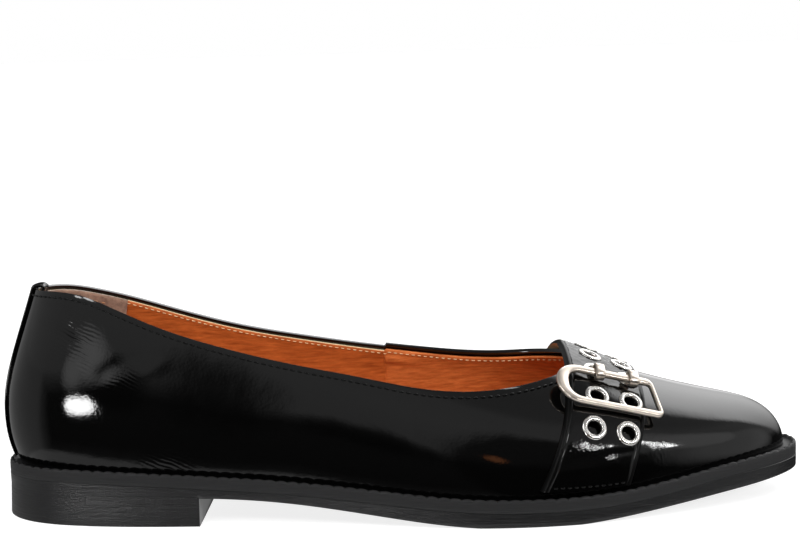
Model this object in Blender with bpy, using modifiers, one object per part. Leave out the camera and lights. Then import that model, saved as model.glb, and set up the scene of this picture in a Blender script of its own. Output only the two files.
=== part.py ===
"""Right slip-on flat: lasted patent upper, welted sole with a low block heel, eyelet strap with a buckle.

Metres, +X to the toe, +Z up, -Y the outer (lateral) side. The floor is z = 0.
Tables are in millimetres, measured from the back of the upper along the heel axis, and are scaled once.
"""
import math

import bmesh
import bpy
import numpy as np
from mathutils import Matrix, Vector

MM = 0.001

# Where the middle of the shoe's box lies in the tables' own millimetres
BOX_MID_X = 134.053
BOX_MID_Y = -1.245

# The last: feather line, from the back of the heel seat to the tip of the toe
SEAT_X = 5.2
TIP_X = 263.6

# One row per section of the last's bottom: x, lateral edge, medial edge
FEATHER = (
    (5.2, 0.0, 0.0),
    (12.0, -14.8, 14.8),
    (22.0, -21.4, 21.2),
    (36.0, -25.5, 25.0),
    (56.0, -28.0, 26.2),
    (80.0, -29.4, 25.0),
    (105.0, -31.9, 24.9),
    (130.0, -36.3, 28.2),
    (150.0, -39.6, 32.6),
    (168.0, -41.0, 36.4),
    (185.0, -39.8, 38.4),
    (202.0, -35.9, 37.8),
    (218.0, -30.2, 35.4),
    (234.0, -22.8, 31.4),
    (248.0, -14.4, 25.4),
    (257.0, -6.4, 19.6),
    (263.6, 7.0, 7.0),
)

# One row per section of the last's body: x, ridge height, ridge y, wall flare, wall reach, top reach
BODY = (
    (5.2, 100.0, 0.0, 5.6, 0.40, 0.72),
    (40.0, 96.0, 0.0, 5.6, 0.40, 0.72),
    (80.0, 84.5, 0.0, 5.4, 0.42, 0.70),
    (120.0, 71.5, 0.5, 4.6, 0.46, 0.66),
    (160.0, 59.2, 1.5, 4.0, 0.50, 0.62),
    (194.0, 47.6, 3.0, 3.6, 0.55, 0.60),
    (218.0, 39.4, 5.0, 3.0, 0.56, 0.60),
    (240.0, 33.6, 7.0, 2.2, 0.56, 0.60),
    (252.0, 30.3, 7.6, 1.4, 0.56, 0.60),
    (259.0, 25.9, 7.4, 0.7, 0.56, 0.60),
    (263.6, 15.3, 7.0, 0.0, 0.56, 0.60),
)

# Heel curve: height, how far the back stands from the feather line (minus is further back)
HEEL_CURVE = (
    (16.0, 0.3),
    (24.0, -2.5),
    (33.0, -3.7),
    (41.0, -3.3),
    (49.0, -1.6),
    (58.0, 1.2),
    (68.0, 4.6),
    (80.0, 8.6),
)
HEEL_CURVE_FADE = 70.0
HEEL_CURVE_TOP = 84.0
FLARE_FULL_HALF = 20.0

# Topline: x, lateral height, medial height; from THROAT_START it rounds over the ridge to the throat
TOPLINE = (
    (5.2, 75.6, 75.6),
    (14.0, 76.0, 74.8),
    (24.0, 75.2, 72.8),
    (38.0, 71.2, 69.4),
    (60.0, 63.2, 63.2),
    (80.0, 57.0, 58.0),
    (100.0, 52.0, 54.2),
    (122.0, 47.6, 50.4),
    (140.0, 44.0, 47.6),
    (156.0, 42.4, 45.6),
    (170.0, 42.8, 45.2),
    (180.0, 44.0, 46.0),
    (191.0, 45.8, 46.8),
)
THROAT_START = 176.0
THROAT_X = 191.0

# Sole levels: x, top of the welt's lip; x, underside of the outsole (the ball is flat on the floor)
LIP = (
    (2.0, 18.4),
    (25.0, 18.6),
    (45.0, 18.0),
    (72.0, 16.5),
    (100.0, 14.5),
    (130.0, 11.8),
    (155.0, 9.6),
    (178.0, 9.0),
    (200.0, 9.5),
    (222.0, 11.9),
    (245.0, 15.0),
    (268.0, 16.3),
)
UNDERSIDE = (
    (2.0, 9.6),
    (45.0, 9.5),
    (72.0, 9.1),
    (90.0, 8.1),
    (110.0, 6.0),
    (130.0, 3.3),
    (150.0, 0.8),
    (166.0, -0.3),
    (186.0, -0.3),
    (200.0, 0.7),
    (215.0, 2.4),
    (230.0, 4.2),
    (245.0, 5.9),
    (268.0, 8.2),
)

GAP = 0.3
WALL = 1.8
WELT_HEIGHT = 4.4
LEDGE_DROP = 1.2
WELT_OUT = 3.1
WELT_GROOVE_OUT = 1.9
WELT_GROOVE_IN = 1.3
WELT_IN = -5.5
TOE_EDGE = 1.2
TOE_EDGE_START = 232.0
SEAT_EDGE = 0.8
SEAT_EDGE_START = 32.0
SEAT_EDGE_RUN = 26.0
BREAST_X = 68.8
INSOLE_THICK = 3.0
INSOLE_CLEAR = 0.8
INSOLE_TOE_DRAW = 3.4
INSOLE_DRAW_START = 230.0

STRAP_WIDTH = 26.0
STRAP_THICK = 2.2
STRAP_SIDE_X = 201.7
STRAP_SHOULDER = 0.62
STRAP_CROWN_BACK = 1.6
STRAP_FOOT_SWEEP = 7.4
STRAP_FOOT = 0.045

EYELET_PITCH = 12.5
EYELET_COLUMNS = (-3.6, 7.5)
EYELET_FLANGE_R = 4.1
EYELET_HOLE_R = 2.2
EYELET_BARREL_R = 2.7
EYELET_FLANGE_H = 0.55
EYELET_DEPTH = 1.4
EYELET_ROUND_OUT = 0.7
EYELET_ROUND_IN = 0.4
PUNCH_DEPTH = 9.0
RING_SIDES = 12
EYELET_FIRST = (32.0, 29.6)
EYELET_ROWS = 8

STRIP_WIDTH = 9.0
STRIP_THICK = 1.0
STRIP_BASE = 0.03

BUCKLE_ARC = 29.4
BUCKLE_BARS = 13.8
BUCKLE_TILT = 5.0
BUCKLE_LIFT = 1.25
BUCKLE_THICK = 1.9
BUCKLE_EDGE = 0.5

# Buckle corners from its middle: along, up, rounding of the outer loop; along, up, rounding of the window
BUCKLE_CORNERS = (
    (16.2, 8.1, 2.4, 13.9, 5.8, 0.9),
    (-17.6, 8.1, 6.6, -14.0, 5.8, 3.0),
    (-17.6, -8.1, 6.6, -14.0, -5.8, 3.0),
    (18.4, -8.1, 2.4, 16.0, -5.8, 0.9),
)
PRONG_WIDTH = 2.9
PRONG_THICK = 1.0
PRONG_END = 4.7
PRONG_ROW = 2


def smooth_curve(points):
    """Natural cubic spline through (x, value) points, as a function."""
    xs = np.array([p[0] for p in points], float)
    ys = np.array([p[1] for p in points], float)
    count = len(xs)
    step = np.diff(xs)
    rows = np.zeros((count, count))
    right = np.zeros(count)
    rows[0, 0] = 1.0
    rows[-1, -1] = 1.0
    for i in range(1, count - 1):
        rows[i, i - 1] = step[i - 1]
        rows[i, i] = 2.0 * (step[i - 1] + step[i])
        rows[i, i + 1] = step[i]
        right[i] = 6.0 * ((ys[i + 1] - ys[i]) / step[i] - (ys[i] - ys[i - 1]) / step[i - 1])
    bend = np.linalg.solve(rows, right)

    def value(x):
        i = int(np.clip(np.searchsorted(xs, x) - 1, 0, count - 2))
        t = x - xs[i]
        slope = (ys[i + 1] - ys[i]) / step[i] - step[i] * (2.0 * bend[i] + bend[i + 1]) / 6.0
        return float(ys[i] + t * slope + t * t * bend[i] / 2.0 + t ** 3 * (bend[i + 1] - bend[i]) / (6.0 * step[i]))

    return value


def turn(x):
    """Station angle: 0 at the back of the heel, pi at the tip, so that both ends round off."""
    return math.acos(min(1.0, max(-1.0, 1.0 - 2.0 * (x - SEAT_X) / (TIP_X - SEAT_X))))


def station_x(angle):
    return SEAT_X + (TIP_X - SEAT_X) * (1.0 - math.cos(angle)) / 2.0


feather_lateral = smooth_curve([(turn(row[0]), row[1]) for row in FEATHER])
feather_medial = smooth_curve([(turn(row[0]), row[2]) for row in FEATHER])
ridge_height = smooth_curve([(turn(row[0]), row[1]) for row in BODY])
ridge_side = smooth_curve([(turn(row[0]), row[2]) for row in BODY])
wall_flare = smooth_curve([(turn(row[0]), row[3]) for row in BODY])
wall_reach = smooth_curve([(turn(row[0]), row[4]) for row in BODY])
top_reach = smooth_curve([(turn(row[0]), row[5]) for row in BODY])
heel_curve = smooth_curve(HEEL_CURVE)
topline_lateral = smooth_curve([(row[0], row[1]) for row in TOPLINE])
topline_medial = smooth_curve([(row[0], row[2]) for row in TOPLINE])
lip_height = smooth_curve(LIP)
underside_curve = smooth_curve(UNDERSIDE)


def underside(x):
    """Height of the outsole's underside, level with the floor under the ball."""
    return max(0.0, underside_curve(x))


def ledge(x):
    """Height of the welt's flat ledge, on which the upper stands."""
    return lip_height(x) - LEDGE_DROP


def skin(angle, side, t):
    """A point of the upper's outer face: t runs from the feather line (0) to the ridge (1)."""
    x = station_x(angle)
    edge = feather_lateral(angle) if side < 0 else feather_medial(angle)
    foot_z = ledge(x) + GAP
    top_z = max(ridge_height(angle), foot_z)
    top_y = ridge_side(angle)
    rise = top_z - foot_z
    half = abs(edge - top_y)
    swell = wall_flare(angle) * min(1.0, half / FLARE_FULL_HALF)
    y1 = edge + side * swell
    z1 = foot_z + wall_reach(angle) * rise
    y2 = top_y + side * top_reach(angle) * half
    s = 1.0 - t
    y = s ** 3 * edge + 3.0 * s * s * t * y1 + 3.0 * s * t * t * y2 + t ** 3 * top_y
    z = s ** 3 * foot_z + 3.0 * s * s * t * z1 + (3.0 * s * t * t + t ** 3) * top_z
    fade = max(0.0, 1.0 - (x - SEAT_X) / HEEL_CURVE_FADE)
    x += heel_curve(min(z, HEEL_CURVE_TOP)) * fade * fade * (3.0 - 2.0 * fade)
    return np.array((x, y, z))


def outward(angle, side, t):
    """Unit normal of the upper's outer face, pointing away from the foot."""
    da = 0.004
    dt = 0.004
    a0 = min(max(angle, da), math.pi - da)
    t0 = min(max(t, dt), 1.0 - dt)
    along = skin(a0 + da, side, t0) - skin(a0 - da, side, t0)
    up = skin(a0, side, t0 + dt) - skin(a0, side, t0 - dt)
    normal = np.cross(up, along) * side
    return normal / np.linalg.norm(normal)


def shell(angle, side, t, offset):
    """A point over the upper's outer face at the given distance."""
    return skin(angle, side, t) + offset * outward(angle, side, t)


def topline_t(angle, side):
    """How far up a section the collar cuts it: 1 is the ridge, ahead of the throat."""
    x = station_x(angle)
    if x >= THROAT_X:
        return 1.0
    level = topline_lateral(x) if side < 0 else topline_medial(x)
    low = 0.0
    high = 1.0
    for _ in range(40):
        middle = (low + high) / 2.0
        if skin(angle, side, middle)[2] < level:
            low = middle
        else:
            high = middle
    rounding = max(0.0, (x - THROAT_START) / (THROAT_X - THROAT_START))
    return 1.0 - (1.0 - low) * math.sqrt(1.0 - rounding ** 3)


def outline(offset, angle, side):
    """Plan point of the feather line moved outward by the offset."""
    edge = feather_lateral if side < 0 else feather_medial
    da = 0.003
    a0 = min(max(angle, da), math.pi - da)
    dx = station_x(a0 + da) - station_x(a0 - da)
    dy = edge(a0 + da) - edge(a0 - da)
    size = math.hypot(dx, dy)
    nx = -side * dy / size
    ny = side * dx / size
    if angle < da:
        nx, ny = -1.0, 0.0
    if angle > math.pi - da:
        nx, ny = 1.0, 0.0
    return station_x(angle) + offset * nx, edge(angle) + offset * ny


def ease(value):
    """Soft step from 0 to 1."""
    run = min(1.0, max(0.0, value))
    return run * run * (3.0 - 2.0 * run)


def wider_edge(x):
    """How much wider the sole's edge is round the toe and the back than along the sides."""
    toe = ease((x - TOE_EDGE_START) / (TIP_X - TOE_EDGE_START))
    seat = ease((SEAT_EDGE_START - x) / SEAT_EDGE_RUN)
    return TOE_EDGE * toe + SEAT_EDGE * seat


def place(point):
    """Table millimetres to the part's metres, with the origin under the middle of the box."""
    return ((point[0] - BOX_MID_X) * MM, (point[1] - BOX_MID_Y) * MM, point[2] * MM)


def clear_scene():
    for old in list(bpy.data.objects):
        bpy.data.objects.remove(old, do_unlink=True)


def make_collection(name):
    made = bpy.data.collections.new(name)
    bpy.context.scene.collection.children.link(made)
    return made


def make_material(name, colour, roughness, metallic=0.0):
    made = bpy.data.materials.new(name)
    made.use_nodes = True
    shader = made.node_tree.nodes["Principled BSDF"]
    shader.inputs["Base Color"].default_value = (*colour, 1.0)
    shader.inputs["Roughness"].default_value = roughness
    shader.inputs["Metallic"].default_value = metallic
    return made


def finish_mesh(name, mesh_data, material, home):
    """Weld the doubled points, turn the faces outward and link the object."""
    bmesh.ops.remove_doubles(mesh_data, verts=mesh_data.verts, dist=0.00001)
    bmesh.ops.dissolve_degenerate(mesh_data, edges=mesh_data.edges, dist=0.000005)
    bmesh.ops.recalc_face_normals(mesh_data, faces=mesh_data.faces)
    mesh = bpy.data.meshes.new(name)
    mesh_data.to_mesh(mesh)
    mesh_data.free()
    mesh.materials.append(material)
    made = bpy.data.objects.new(name, mesh)
    home.objects.link(made)
    return made


def loft(mesh_data, rings, closed):
    """Skin rings of points with quads; closed joins each ring's last point to its first."""
    made = [[mesh_data.verts.new(place(point)) for point in ring] for ring in rings]
    for lower, upper in zip(made, made[1:]):
        count = len(lower)
        for i in range(count if closed else count - 1):
            j = (i + 1) % count
            mesh_data.faces.new((lower[i], lower[j], upper[j], upper[i]))
    return made


def add_solidify(target, thickness, offset):
    made = target.modifiers.new("wall", "SOLIDIFY")
    made.thickness = thickness * MM
    made.offset = offset
    made.use_even_offset = True
    return made


def orient_outward(mesh_data, centre):
    """Turn an open skin so that its faces look away from the centre."""
    total = 0.0
    for face in mesh_data.faces:
        total += face.normal.dot(face.calc_center_median() - centre) * face.calc_area()
    if total < 0.0:
        bmesh.ops.reverse_faces(mesh_data, faces=mesh_data.faces)


def skin_object(name, mesh_data, material, home, thickness, offset):
    """An open skin over the last with its wall added by Solidify."""
    bmesh.ops.remove_doubles(mesh_data, verts=mesh_data.verts, dist=0.00002)
    bmesh.ops.dissolve_degenerate(mesh_data, edges=mesh_data.edges, dist=0.000005)
    bmesh.ops.recalc_face_normals(mesh_data, faces=mesh_data.faces)
    orient_outward(mesh_data, Vector((0.0, 0.0, 0.02)))
    mesh = bpy.data.meshes.new(name)
    mesh_data.to_mesh(mesh)
    mesh_data.free()
    mesh.materials.append(material)
    made = bpy.data.objects.new(name, mesh)
    home.objects.link(made)
    add_solidify(made, thickness, offset)
    return made


def build_upper(material, home):
    """Hollow shell: two walls that meet at the back and, ahead of the throat, along the ridge."""
    throat = turn(THROAT_X)
    behind = [throat * i / 28.0 for i in range(28)]
    near_throat = [turn(THROAT_X - back) for back in (3.4, 1.9, 0.8, 0.2)]
    ahead = [throat + (math.pi - throat) * i / 16.0 for i in range(17)]
    angles = behind + near_throat + ahead
    steps = 9
    data = bmesh.new()
    for side in (-1, 1):
        rings = []
        for angle in angles:
            top = topline_t(angle, side)
            rings.append([skin(angle, side, top * j / steps) for j in range(steps + 1)])
        loft(data, rings, False)
    return skin_object("upper", data, material, home, WALL, -1.0)


def build_back_strip(material, home):
    """Narrow strip over the back seam, cut from the upper's own face."""
    reach = 0.0
    while outline(0.0, reach, -1)[1] > -STRIP_WIDTH / 2.0:
        reach += 0.002
    data = bmesh.new()
    rings = []
    for i in range(-3, 4):
        side = -1 if i <= 0 else 1
        angle = reach * abs(i) / 3.0
        top = topline_t(angle, side)
        rise = (top - STRIP_BASE) / 14.0
        rings.append([shell(angle, side, STRIP_BASE + rise * j, GAP) for j in range(15)])
    loft(data, rings, False)
    return skin_object("back_strip", data, material, home, STRIP_THICK, 1.0)


def strap_point(across, turned, offset):
    """Strap face: across is mm from its middle, turned runs -1 (outer foot) to 1 (inner foot)."""
    side = -1 if turned <= 0.0 else 1
    t = 1.0 - abs(turned) * (1.0 - STRAP_FOOT)
    low = max(0.0, 1.0 - t / STRAP_SHOULDER)
    crown = max(0.0, (t - STRAP_SHOULDER) / (1.0 - STRAP_SHOULDER))
    x = STRAP_SIDE_X - STRAP_FOOT_SWEEP * low ** 1.8 - STRAP_CROWN_BACK * crown ** 2 + across
    return shell(turn(x), side, t, offset)


def strap_turns(across, count=240):
    """Arc length over the strap from its crown, for each side."""
    spots = [i / count for i in range(count + 1)]
    found = {}
    for side in (-1, 1):
        points = [strap_point(across, side * s, GAP + STRAP_THICK) for s in spots]
        lengths = [0.0]
        for before, after in zip(points, points[1:]):
            lengths.append(lengths[-1] + float(np.linalg.norm(after - before)))
        found[side] = (spots, lengths)
    return found


def eyelet_spots():
    """Middle and axis of each eyelet, row by row from the outer side over the crown."""
    spots = []
    for column, across in enumerate(EYELET_COLUMNS):
        table = strap_turns(across)
        for row in range(EYELET_ROWS):
            run = EYELET_PITCH * (row - 1) - EYELET_FIRST[column]
            side = -1 if run <= 0.0 else 1
            turned = side * float(np.interp(abs(run), table[side][1], table[side][0]))
            middle = strap_point(across, turned, GAP + STRAP_THICK)
            low = strap_point(across, turned, GAP)
            axis = (middle - low) / np.linalg.norm(middle - low)
            spots.append((row, column, middle, axis))
    return spots


def stand_at(middle, axis):
    """Matrix that stands an object's z along the axis at the point."""
    turn_to = Vector(axis).to_track_quat("Z", "Y").to_matrix().to_4x4()
    return Matrix.Translation(Vector(place(middle))) @ turn_to


def build_strap(material, home, cutters, spots):
    """Wide strap over the vamp, pierced for the eyelets."""
    data = bmesh.new()
    rings = []
    for i in range(-16, 17):
        turned = i / 16.0
        rings.append([strap_point(STRAP_WIDTH * (j / 5.0 - 0.5), turned, GAP) for j in range(6)])
    loft(data, rings, False)
    strap = skin_object("strap", data, material, home, STRAP_THICK, 1.0)
    for row, column, middle, axis in spots:
        punch_data = bmesh.new()
        bmesh.ops.create_cone(
            punch_data,
            cap_ends=True,
            segments=RING_SIDES,
            radius1=(EYELET_BARREL_R + GAP) * MM,
            radius2=(EYELET_BARREL_R + GAP) * MM,
            depth=PUNCH_DEPTH * MM,
        )
        mesh = bpy.data.meshes.new("punch_%d_%d" % (row, column))
        punch_data.to_mesh(mesh)
        punch_data.free()
        punch = bpy.data.objects.new(mesh.name, mesh)
        punch.matrix_world = stand_at(middle, axis)
        punch.hide_render = True
        punch.display_type = "WIRE"
        cutters.objects.link(punch)
        cut = strap.modifiers.new("hole", "BOOLEAN")
        cut.operation = "DIFFERENCE"
        cut.solver = "EXACT"
        cut.object = punch
    return strap


def build_eyelet(name, middle, axis, material, home):
    """Turned ring: a domed flange on the strap and a short barrel down the hole."""
    rim = EYELET_FLANGE_R
    lift = GAP * 0.5
    profile = (
        (EYELET_HOLE_R, -EYELET_DEPTH),
        (EYELET_BARREL_R, -EYELET_DEPTH),
        (EYELET_BARREL_R, lift),
        (rim, lift),
        (rim - EYELET_ROUND_OUT, lift + EYELET_FLANGE_H),
        (EYELET_HOLE_R + EYELET_ROUND_IN, lift + EYELET_FLANGE_H),
    )
    data = bmesh.new()
    points = [data.verts.new((radius * MM, 0.0, height * MM)) for radius, height in profile]
    edges = [data.edges.new((points[i], points[(i + 1) % len(points)])) for i in range(len(points))]
    bmesh.ops.spin(
        data,
        geom=points + edges,
        cent=(0.0, 0.0, 0.0),
        axis=(0.0, 0.0, 1.0),
        angle=2.0 * math.pi,
        steps=RING_SIDES,
        use_merge=True,
    )
    made = finish_mesh(name, data, material, home)
    made.matrix_world = stand_at(middle, axis)
    return made


def sole_angles(count):
    return [math.pi * i / count for i in range(count + 1)]


def hoop_loft(name, sections, material, home):
    """Solid lofted through closed sections, the last joined to the first."""
    data = bmesh.new()
    made = loft(data, sections, True)
    count = len(made[0])
    for i in range(count):
        j = (i + 1) % count
        data.faces.new((made[-1][i], made[-1][j], made[0][j], made[0][i]))
    return finish_mesh(name, data, material, home)


def build_welt(material, home):
    """Closed rim round the shoe: outer wall, raised lip, groove and the ledge under the upper."""
    profile = (
        (WELT_OUT - 0.2, -WELT_HEIGHT),
        (WELT_OUT, -WELT_HEIGHT * 0.5),
        (WELT_OUT - 0.1, -0.5),
        (WELT_OUT - 0.6, 0.0),
        (WELT_GROOVE_OUT, 0.0),
        (WELT_GROOVE_IN, -LEDGE_DROP),
        (WELT_IN, -LEDGE_DROP),
        (WELT_IN, -WELT_HEIGHT),
    )
    angles = sole_angles(44)
    stops = [(angle, -1) for angle in angles] + [(angle, 1) for angle in reversed(angles[1:-1])]
    rings = []
    for angle, side in stops:
        x = station_x(angle)
        level = lip_height(x)
        ring = []
        for offset, drop in profile:
            wider = wider_edge(x) if offset > WELT_GROOVE_OUT else 0.0
            ring.append((*outline(offset + wider, angle, side), level + drop))
        rings.append(ring)
    return hoop_loft("welt", rings, material, home)


def bar_loft(name, sections, material, home):
    """Solid lofted through closed sections, with flat ends."""
    data = bmesh.new()
    made = loft(data, sections, True)
    for end in (made[0], made[-1]):
        spots = [vert.co for vert in end]
        spread = max((spot - spots[0]).length for spot in spots)
        if spread > 0.0001:
            data.faces.new(end)
    return finish_mesh(name, data, material, home)


def build_outsole(material, home):
    """Full-length sole: side wall, flat ledge under the welt and a middle raised to the insole."""
    sections = []
    for angle in sole_angles(44):
        x = station_x(angle)
        base = underside(x)
        seat = lip_height(x) - WELT_HEIGHT - GAP
        pad = lip_height(x) - LEDGE_DROP
        edge = WELT_OUT + wider_edge(x)
        rows = (
            (WELT_IN - GAP, pad),
            (WELT_IN - GAP, seat),
            (edge - 0.2, seat),
            (edge - 0.3, base + 1.0),
            (edge - 1.0, base),
        )
        ring = [(*outline(offset, angle, -1), height) for offset, height in rows]
        ring += [(*outline(offset, angle, 1), height) for offset, height in reversed(rows)]
        sections.append(ring)
    return bar_loft("outsole", sections, material, home)


def build_heel(material, home):
    """Low block under the seat, flush with the outsole's wall, cut straight at the breast."""
    sections = []
    breast = turn(BREAST_X)
    for i in range(19):
        angle = breast * i / 18.0
        top = underside(station_x(angle)) - GAP
        edge = WELT_OUT + wider_edge(station_x(angle))
        rows = ((edge - 1.0, top), (edge - 0.4, top - 0.8), (edge - 0.7, 0.5), (edge - 1.2, 0.0))
        ring = [(*outline(offset, angle, -1), height) for offset, height in rows]
        ring += [(*outline(offset, angle, 1), height) for offset, height in reversed(rows)]
        sections.append(ring)
    return bar_loft("heel", sections, material, home)


def build_insole(material, home):
    """Footbed on the welt's ledge, just inside the upper's wall."""
    sections = []
    for angle in sole_angles(40):
        x = station_x(angle)
        base = ledge(x) + GAP
        draw = max(0.0, (x - INSOLE_DRAW_START) / (TIP_X - INSOLE_DRAW_START))
        inset = -(WALL + INSOLE_CLEAR + INSOLE_TOE_DRAW * draw * draw)
        rows = ((inset, base), (inset, base + INSOLE_THICK - 0.6), (inset - 0.8, base + INSOLE_THICK))
        ring = [(*outline(offset, angle, -1), height) for offset, height in rows]
        ring += [(*outline(offset, angle, 1), height) for offset, height in reversed(rows)]
        sections.append(ring)
    return bar_loft("insole", sections, material, home)


def buckle_axes():
    """Middle of the buckle on the strap and its directions: to the front, up the girth and outward."""
    table = strap_turns(0.0)
    turns = []
    for run in (BUCKLE_ARC - BUCKLE_BARS / 2.0, BUCKLE_ARC + BUCKLE_BARS / 2.0):
        turns.append(-float(np.interp(run, table[-1][1], table[-1][0])))
    face = GAP + STRAP_THICK
    upper_spot = Vector(strap_point(0.0, turns[0], face))
    lower_spot = Vector(strap_point(0.0, turns[1], face))
    halfway = (turns[0] + turns[1]) / 2.0
    along = Vector(strap_point(10.0, halfway, face) - strap_point(-10.0, halfway, face))
    up = (upper_spot - lower_spot).normalized()
    along = (along - up * along.dot(up)).normalized()
    return (upper_spot + lower_spot) / 2.0, along, up, along.cross(up).normalized()


def rounded_loop(corners, steps=5):
    """Loop through (x, y, rounding) corners, each turned by a short arc."""
    points = []
    count = len(corners)
    for i in range(count):
        corner = Vector(corners[i][:2])
        before = (Vector(corners[i - 1][:2]) - corner).normalized() * corners[i][2]
        after = (Vector(corners[(i + 1) % count][:2]) - corner).normalized() * corners[i][2]
        for k in range(steps + 1):
            t = k / steps
            points.append(corner + before * (1.0 - t) ** 2 + after * t * t)
    return points


def buckle_spot(axes, along, up, out):
    """Point of the buckle's own frame, tilted in its plane, in table millimetres."""
    middle, way_along, way_up, way_out = axes
    tilt = math.radians(BUCKLE_TILT)
    a = along * math.cos(tilt) - up * math.sin(tilt)
    b = along * math.sin(tilt) + up * math.cos(tilt)
    return np.array(Vector(middle) + way_along * a + way_up * b + way_out * out)


def build_buckle(axes, material, home):
    """Flat frame with a round-cornered rear end, a slanted front end and softened edges."""
    outer = rounded_loop([corner[:3] for corner in BUCKLE_CORNERS])
    window = rounded_loop([corner[3:] for corner in BUCKLE_CORNERS])
    low = BUCKLE_LIFT
    high = BUCKLE_LIFT + BUCKLE_THICK
    rings = []
    for rim, hole in zip(outer, window):
        inward = (hole - rim).normalized() * BUCKLE_EDGE
        section = (
            (rim + inward * 0.5, low),
            (rim, low + BUCKLE_EDGE),
            (rim, high - BUCKLE_EDGE),
            (rim + inward, high),
            (hole - inward, high),
            (hole, high - BUCKLE_EDGE),
            (hole, low + BUCKLE_EDGE),
            (hole - inward * 0.5, low),
        )
        rings.append([buckle_spot(axes, spot.x, spot.y, height) for spot, height in section])
    return hoop_loft("buckle_frame", rings, material, home)


def build_prong(name, axes, eyelet_middle, material, home):
    """Short flat prong: out of its eyelet, over the upper bar and down on the window side."""
    middle, way_along, way_up, way_out = axes
    reach = Vector(eyelet_middle) - Vector(middle)
    tilt = math.radians(BUCKLE_TILT)
    along = reach.dot(way_along) * math.cos(tilt) + reach.dot(way_up) * math.sin(tilt)
    start = reach.dot(way_up) * math.cos(tilt) - reach.dot(way_along) * math.sin(tilt)
    base = reach.dot(way_out)
    bar_out = BUCKLE_LIFT + BUCKLE_THICK + GAP + PRONG_THICK / 2.0
    path = (
        (start + 0.2, base - 0.9),
        (start + 0.1, base + 1.0),
        (start - 0.5, bar_out - 0.4),
        (start - 1.5, bar_out),
        (PRONG_END + 0.9, bar_out),
        (PRONG_END + 0.3, bar_out - 0.6),
        (PRONG_END, bar_out - 1.7),
    )
    sections = []
    for i, (up, out) in enumerate(path):
        back = Vector(path[max(0, i - 1)])
        ahead = Vector(path[min(len(path) - 1, i + 1)])
        way = (ahead - back).normalized()
        side_up = -way.y * PRONG_THICK / 2.0
        side_out = way.x * PRONG_THICK / 2.0
        ring = []
        for width, face in ((-0.5, 1.0), (0.5, 1.0), (0.5, -1.0), (-0.5, -1.0)):
            spot = along + width * PRONG_WIDTH
            ring.append(buckle_spot(axes, spot, up + face * side_up, out + face * side_out))
        sections.append(ring)
    return bar_loft(name, sections, material, home)


clear_scene()
shoe = make_collection("slip_on_flat")
tools = make_collection("cutters")

patent = make_material("black_patent", (0.012, 0.012, 0.013), 0.12)
strap_patent = make_material("black_patent_strap", (0.012, 0.012, 0.013), 0.14)
strip_patent = make_material("black_patent_strip", (0.012, 0.012, 0.013), 0.14)
rubber = make_material("black_rubber", (0.03, 0.03, 0.031), 0.55)
heel_rubber = make_material("black_heel_rubber", (0.03, 0.03, 0.031), 0.5)
welt_rubber = make_material("black_welt", (0.035, 0.035, 0.036), 0.5)
tan_leather = make_material("tan_insole_leather", (0.42, 0.2, 0.08), 0.55)
nickel = make_material("bright_nickel", (0.72, 0.7, 0.67), 0.22, 1.0)
satin_nickel = make_material("satin_nickel", (0.68, 0.66, 0.62), 0.3, 1.0)

build_upper(patent, shoe)
build_back_strip(strip_patent, shoe)
build_insole(tan_leather, shoe)
build_welt(welt_rubber, shoe)
build_outsole(rubber, shoe)
build_heel(heel_rubber, shoe)

eyelets = eyelet_spots()
build_strap(strap_patent, shoe, tools, eyelets)
for row, column, middle, axis in eyelets:
    build_eyelet("eyelet_%d_%s" % (row + 1, "rf"[column]), middle, axis, nickel, shoe)

buckle = buckle_axes()
build_buckle(buckle, satin_nickel, shoe)
prong_row = [spot for spot in eyelets if spot[0] == PRONG_ROW]
build_prong("prong_rear", buckle, prong_row[0][2], satin_nickel, shoe)
build_prong("prong_front", buckle, prong_row[1][2], satin_nickel, shoe)
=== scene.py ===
# %% [markdown]
# # A black patent slip-on flat
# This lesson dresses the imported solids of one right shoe: a low-cut patent flat with an eyelet strap and a buckle.
# The solids stay as the fixed frame. Every visible piece is modelled again at a finer step, from the same last.

# %% Load the frame
import math

import bmesh
import bpy
import numpy as np
from mathutils import Matrix, Vector
from mathutils.bvhtree import BVHTree


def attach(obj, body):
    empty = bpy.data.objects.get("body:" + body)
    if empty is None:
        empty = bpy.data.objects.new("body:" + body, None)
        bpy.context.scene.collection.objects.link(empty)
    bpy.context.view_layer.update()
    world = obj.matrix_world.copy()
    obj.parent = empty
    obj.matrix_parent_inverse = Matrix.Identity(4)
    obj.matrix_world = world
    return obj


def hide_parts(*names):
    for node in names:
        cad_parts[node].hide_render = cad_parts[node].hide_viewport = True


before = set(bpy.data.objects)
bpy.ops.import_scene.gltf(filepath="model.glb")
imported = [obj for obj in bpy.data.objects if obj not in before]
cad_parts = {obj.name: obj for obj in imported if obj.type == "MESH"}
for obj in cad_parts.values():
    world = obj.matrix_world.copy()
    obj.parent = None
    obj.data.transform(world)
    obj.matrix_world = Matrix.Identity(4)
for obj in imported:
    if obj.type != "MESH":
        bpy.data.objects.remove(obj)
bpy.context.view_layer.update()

print("nodes in the frame:", len(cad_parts))

# %% [markdown]
# ## Millimetres and the shoe's own frame
# A shoemaker measures in millimetres from the back of the heel, so all tables below do too.
# One function moves such points to the frame: metres, with the origin under the middle of the shoe's box.

# %% Units and small helpers
MM = 0.001
BOX_MID = np.array((134.053, -1.245, 0.0))


def to_frame(points):
    """Last millimetres to frame metres, for one point or an array of them."""
    return (np.asarray(points, float) - BOX_MID) * MM


def ease(value):
    """Soft step from 0 to 1."""
    run = np.clip(value, 0.0, 1.0)
    return run * run * (3.0 - 2.0 * run)


def unit(vectors):
    """Vectors scaled to length 1, along the last axis."""
    return vectors / np.maximum(np.linalg.norm(vectors, axis=-1, keepdims=True), 1e-12)


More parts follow.
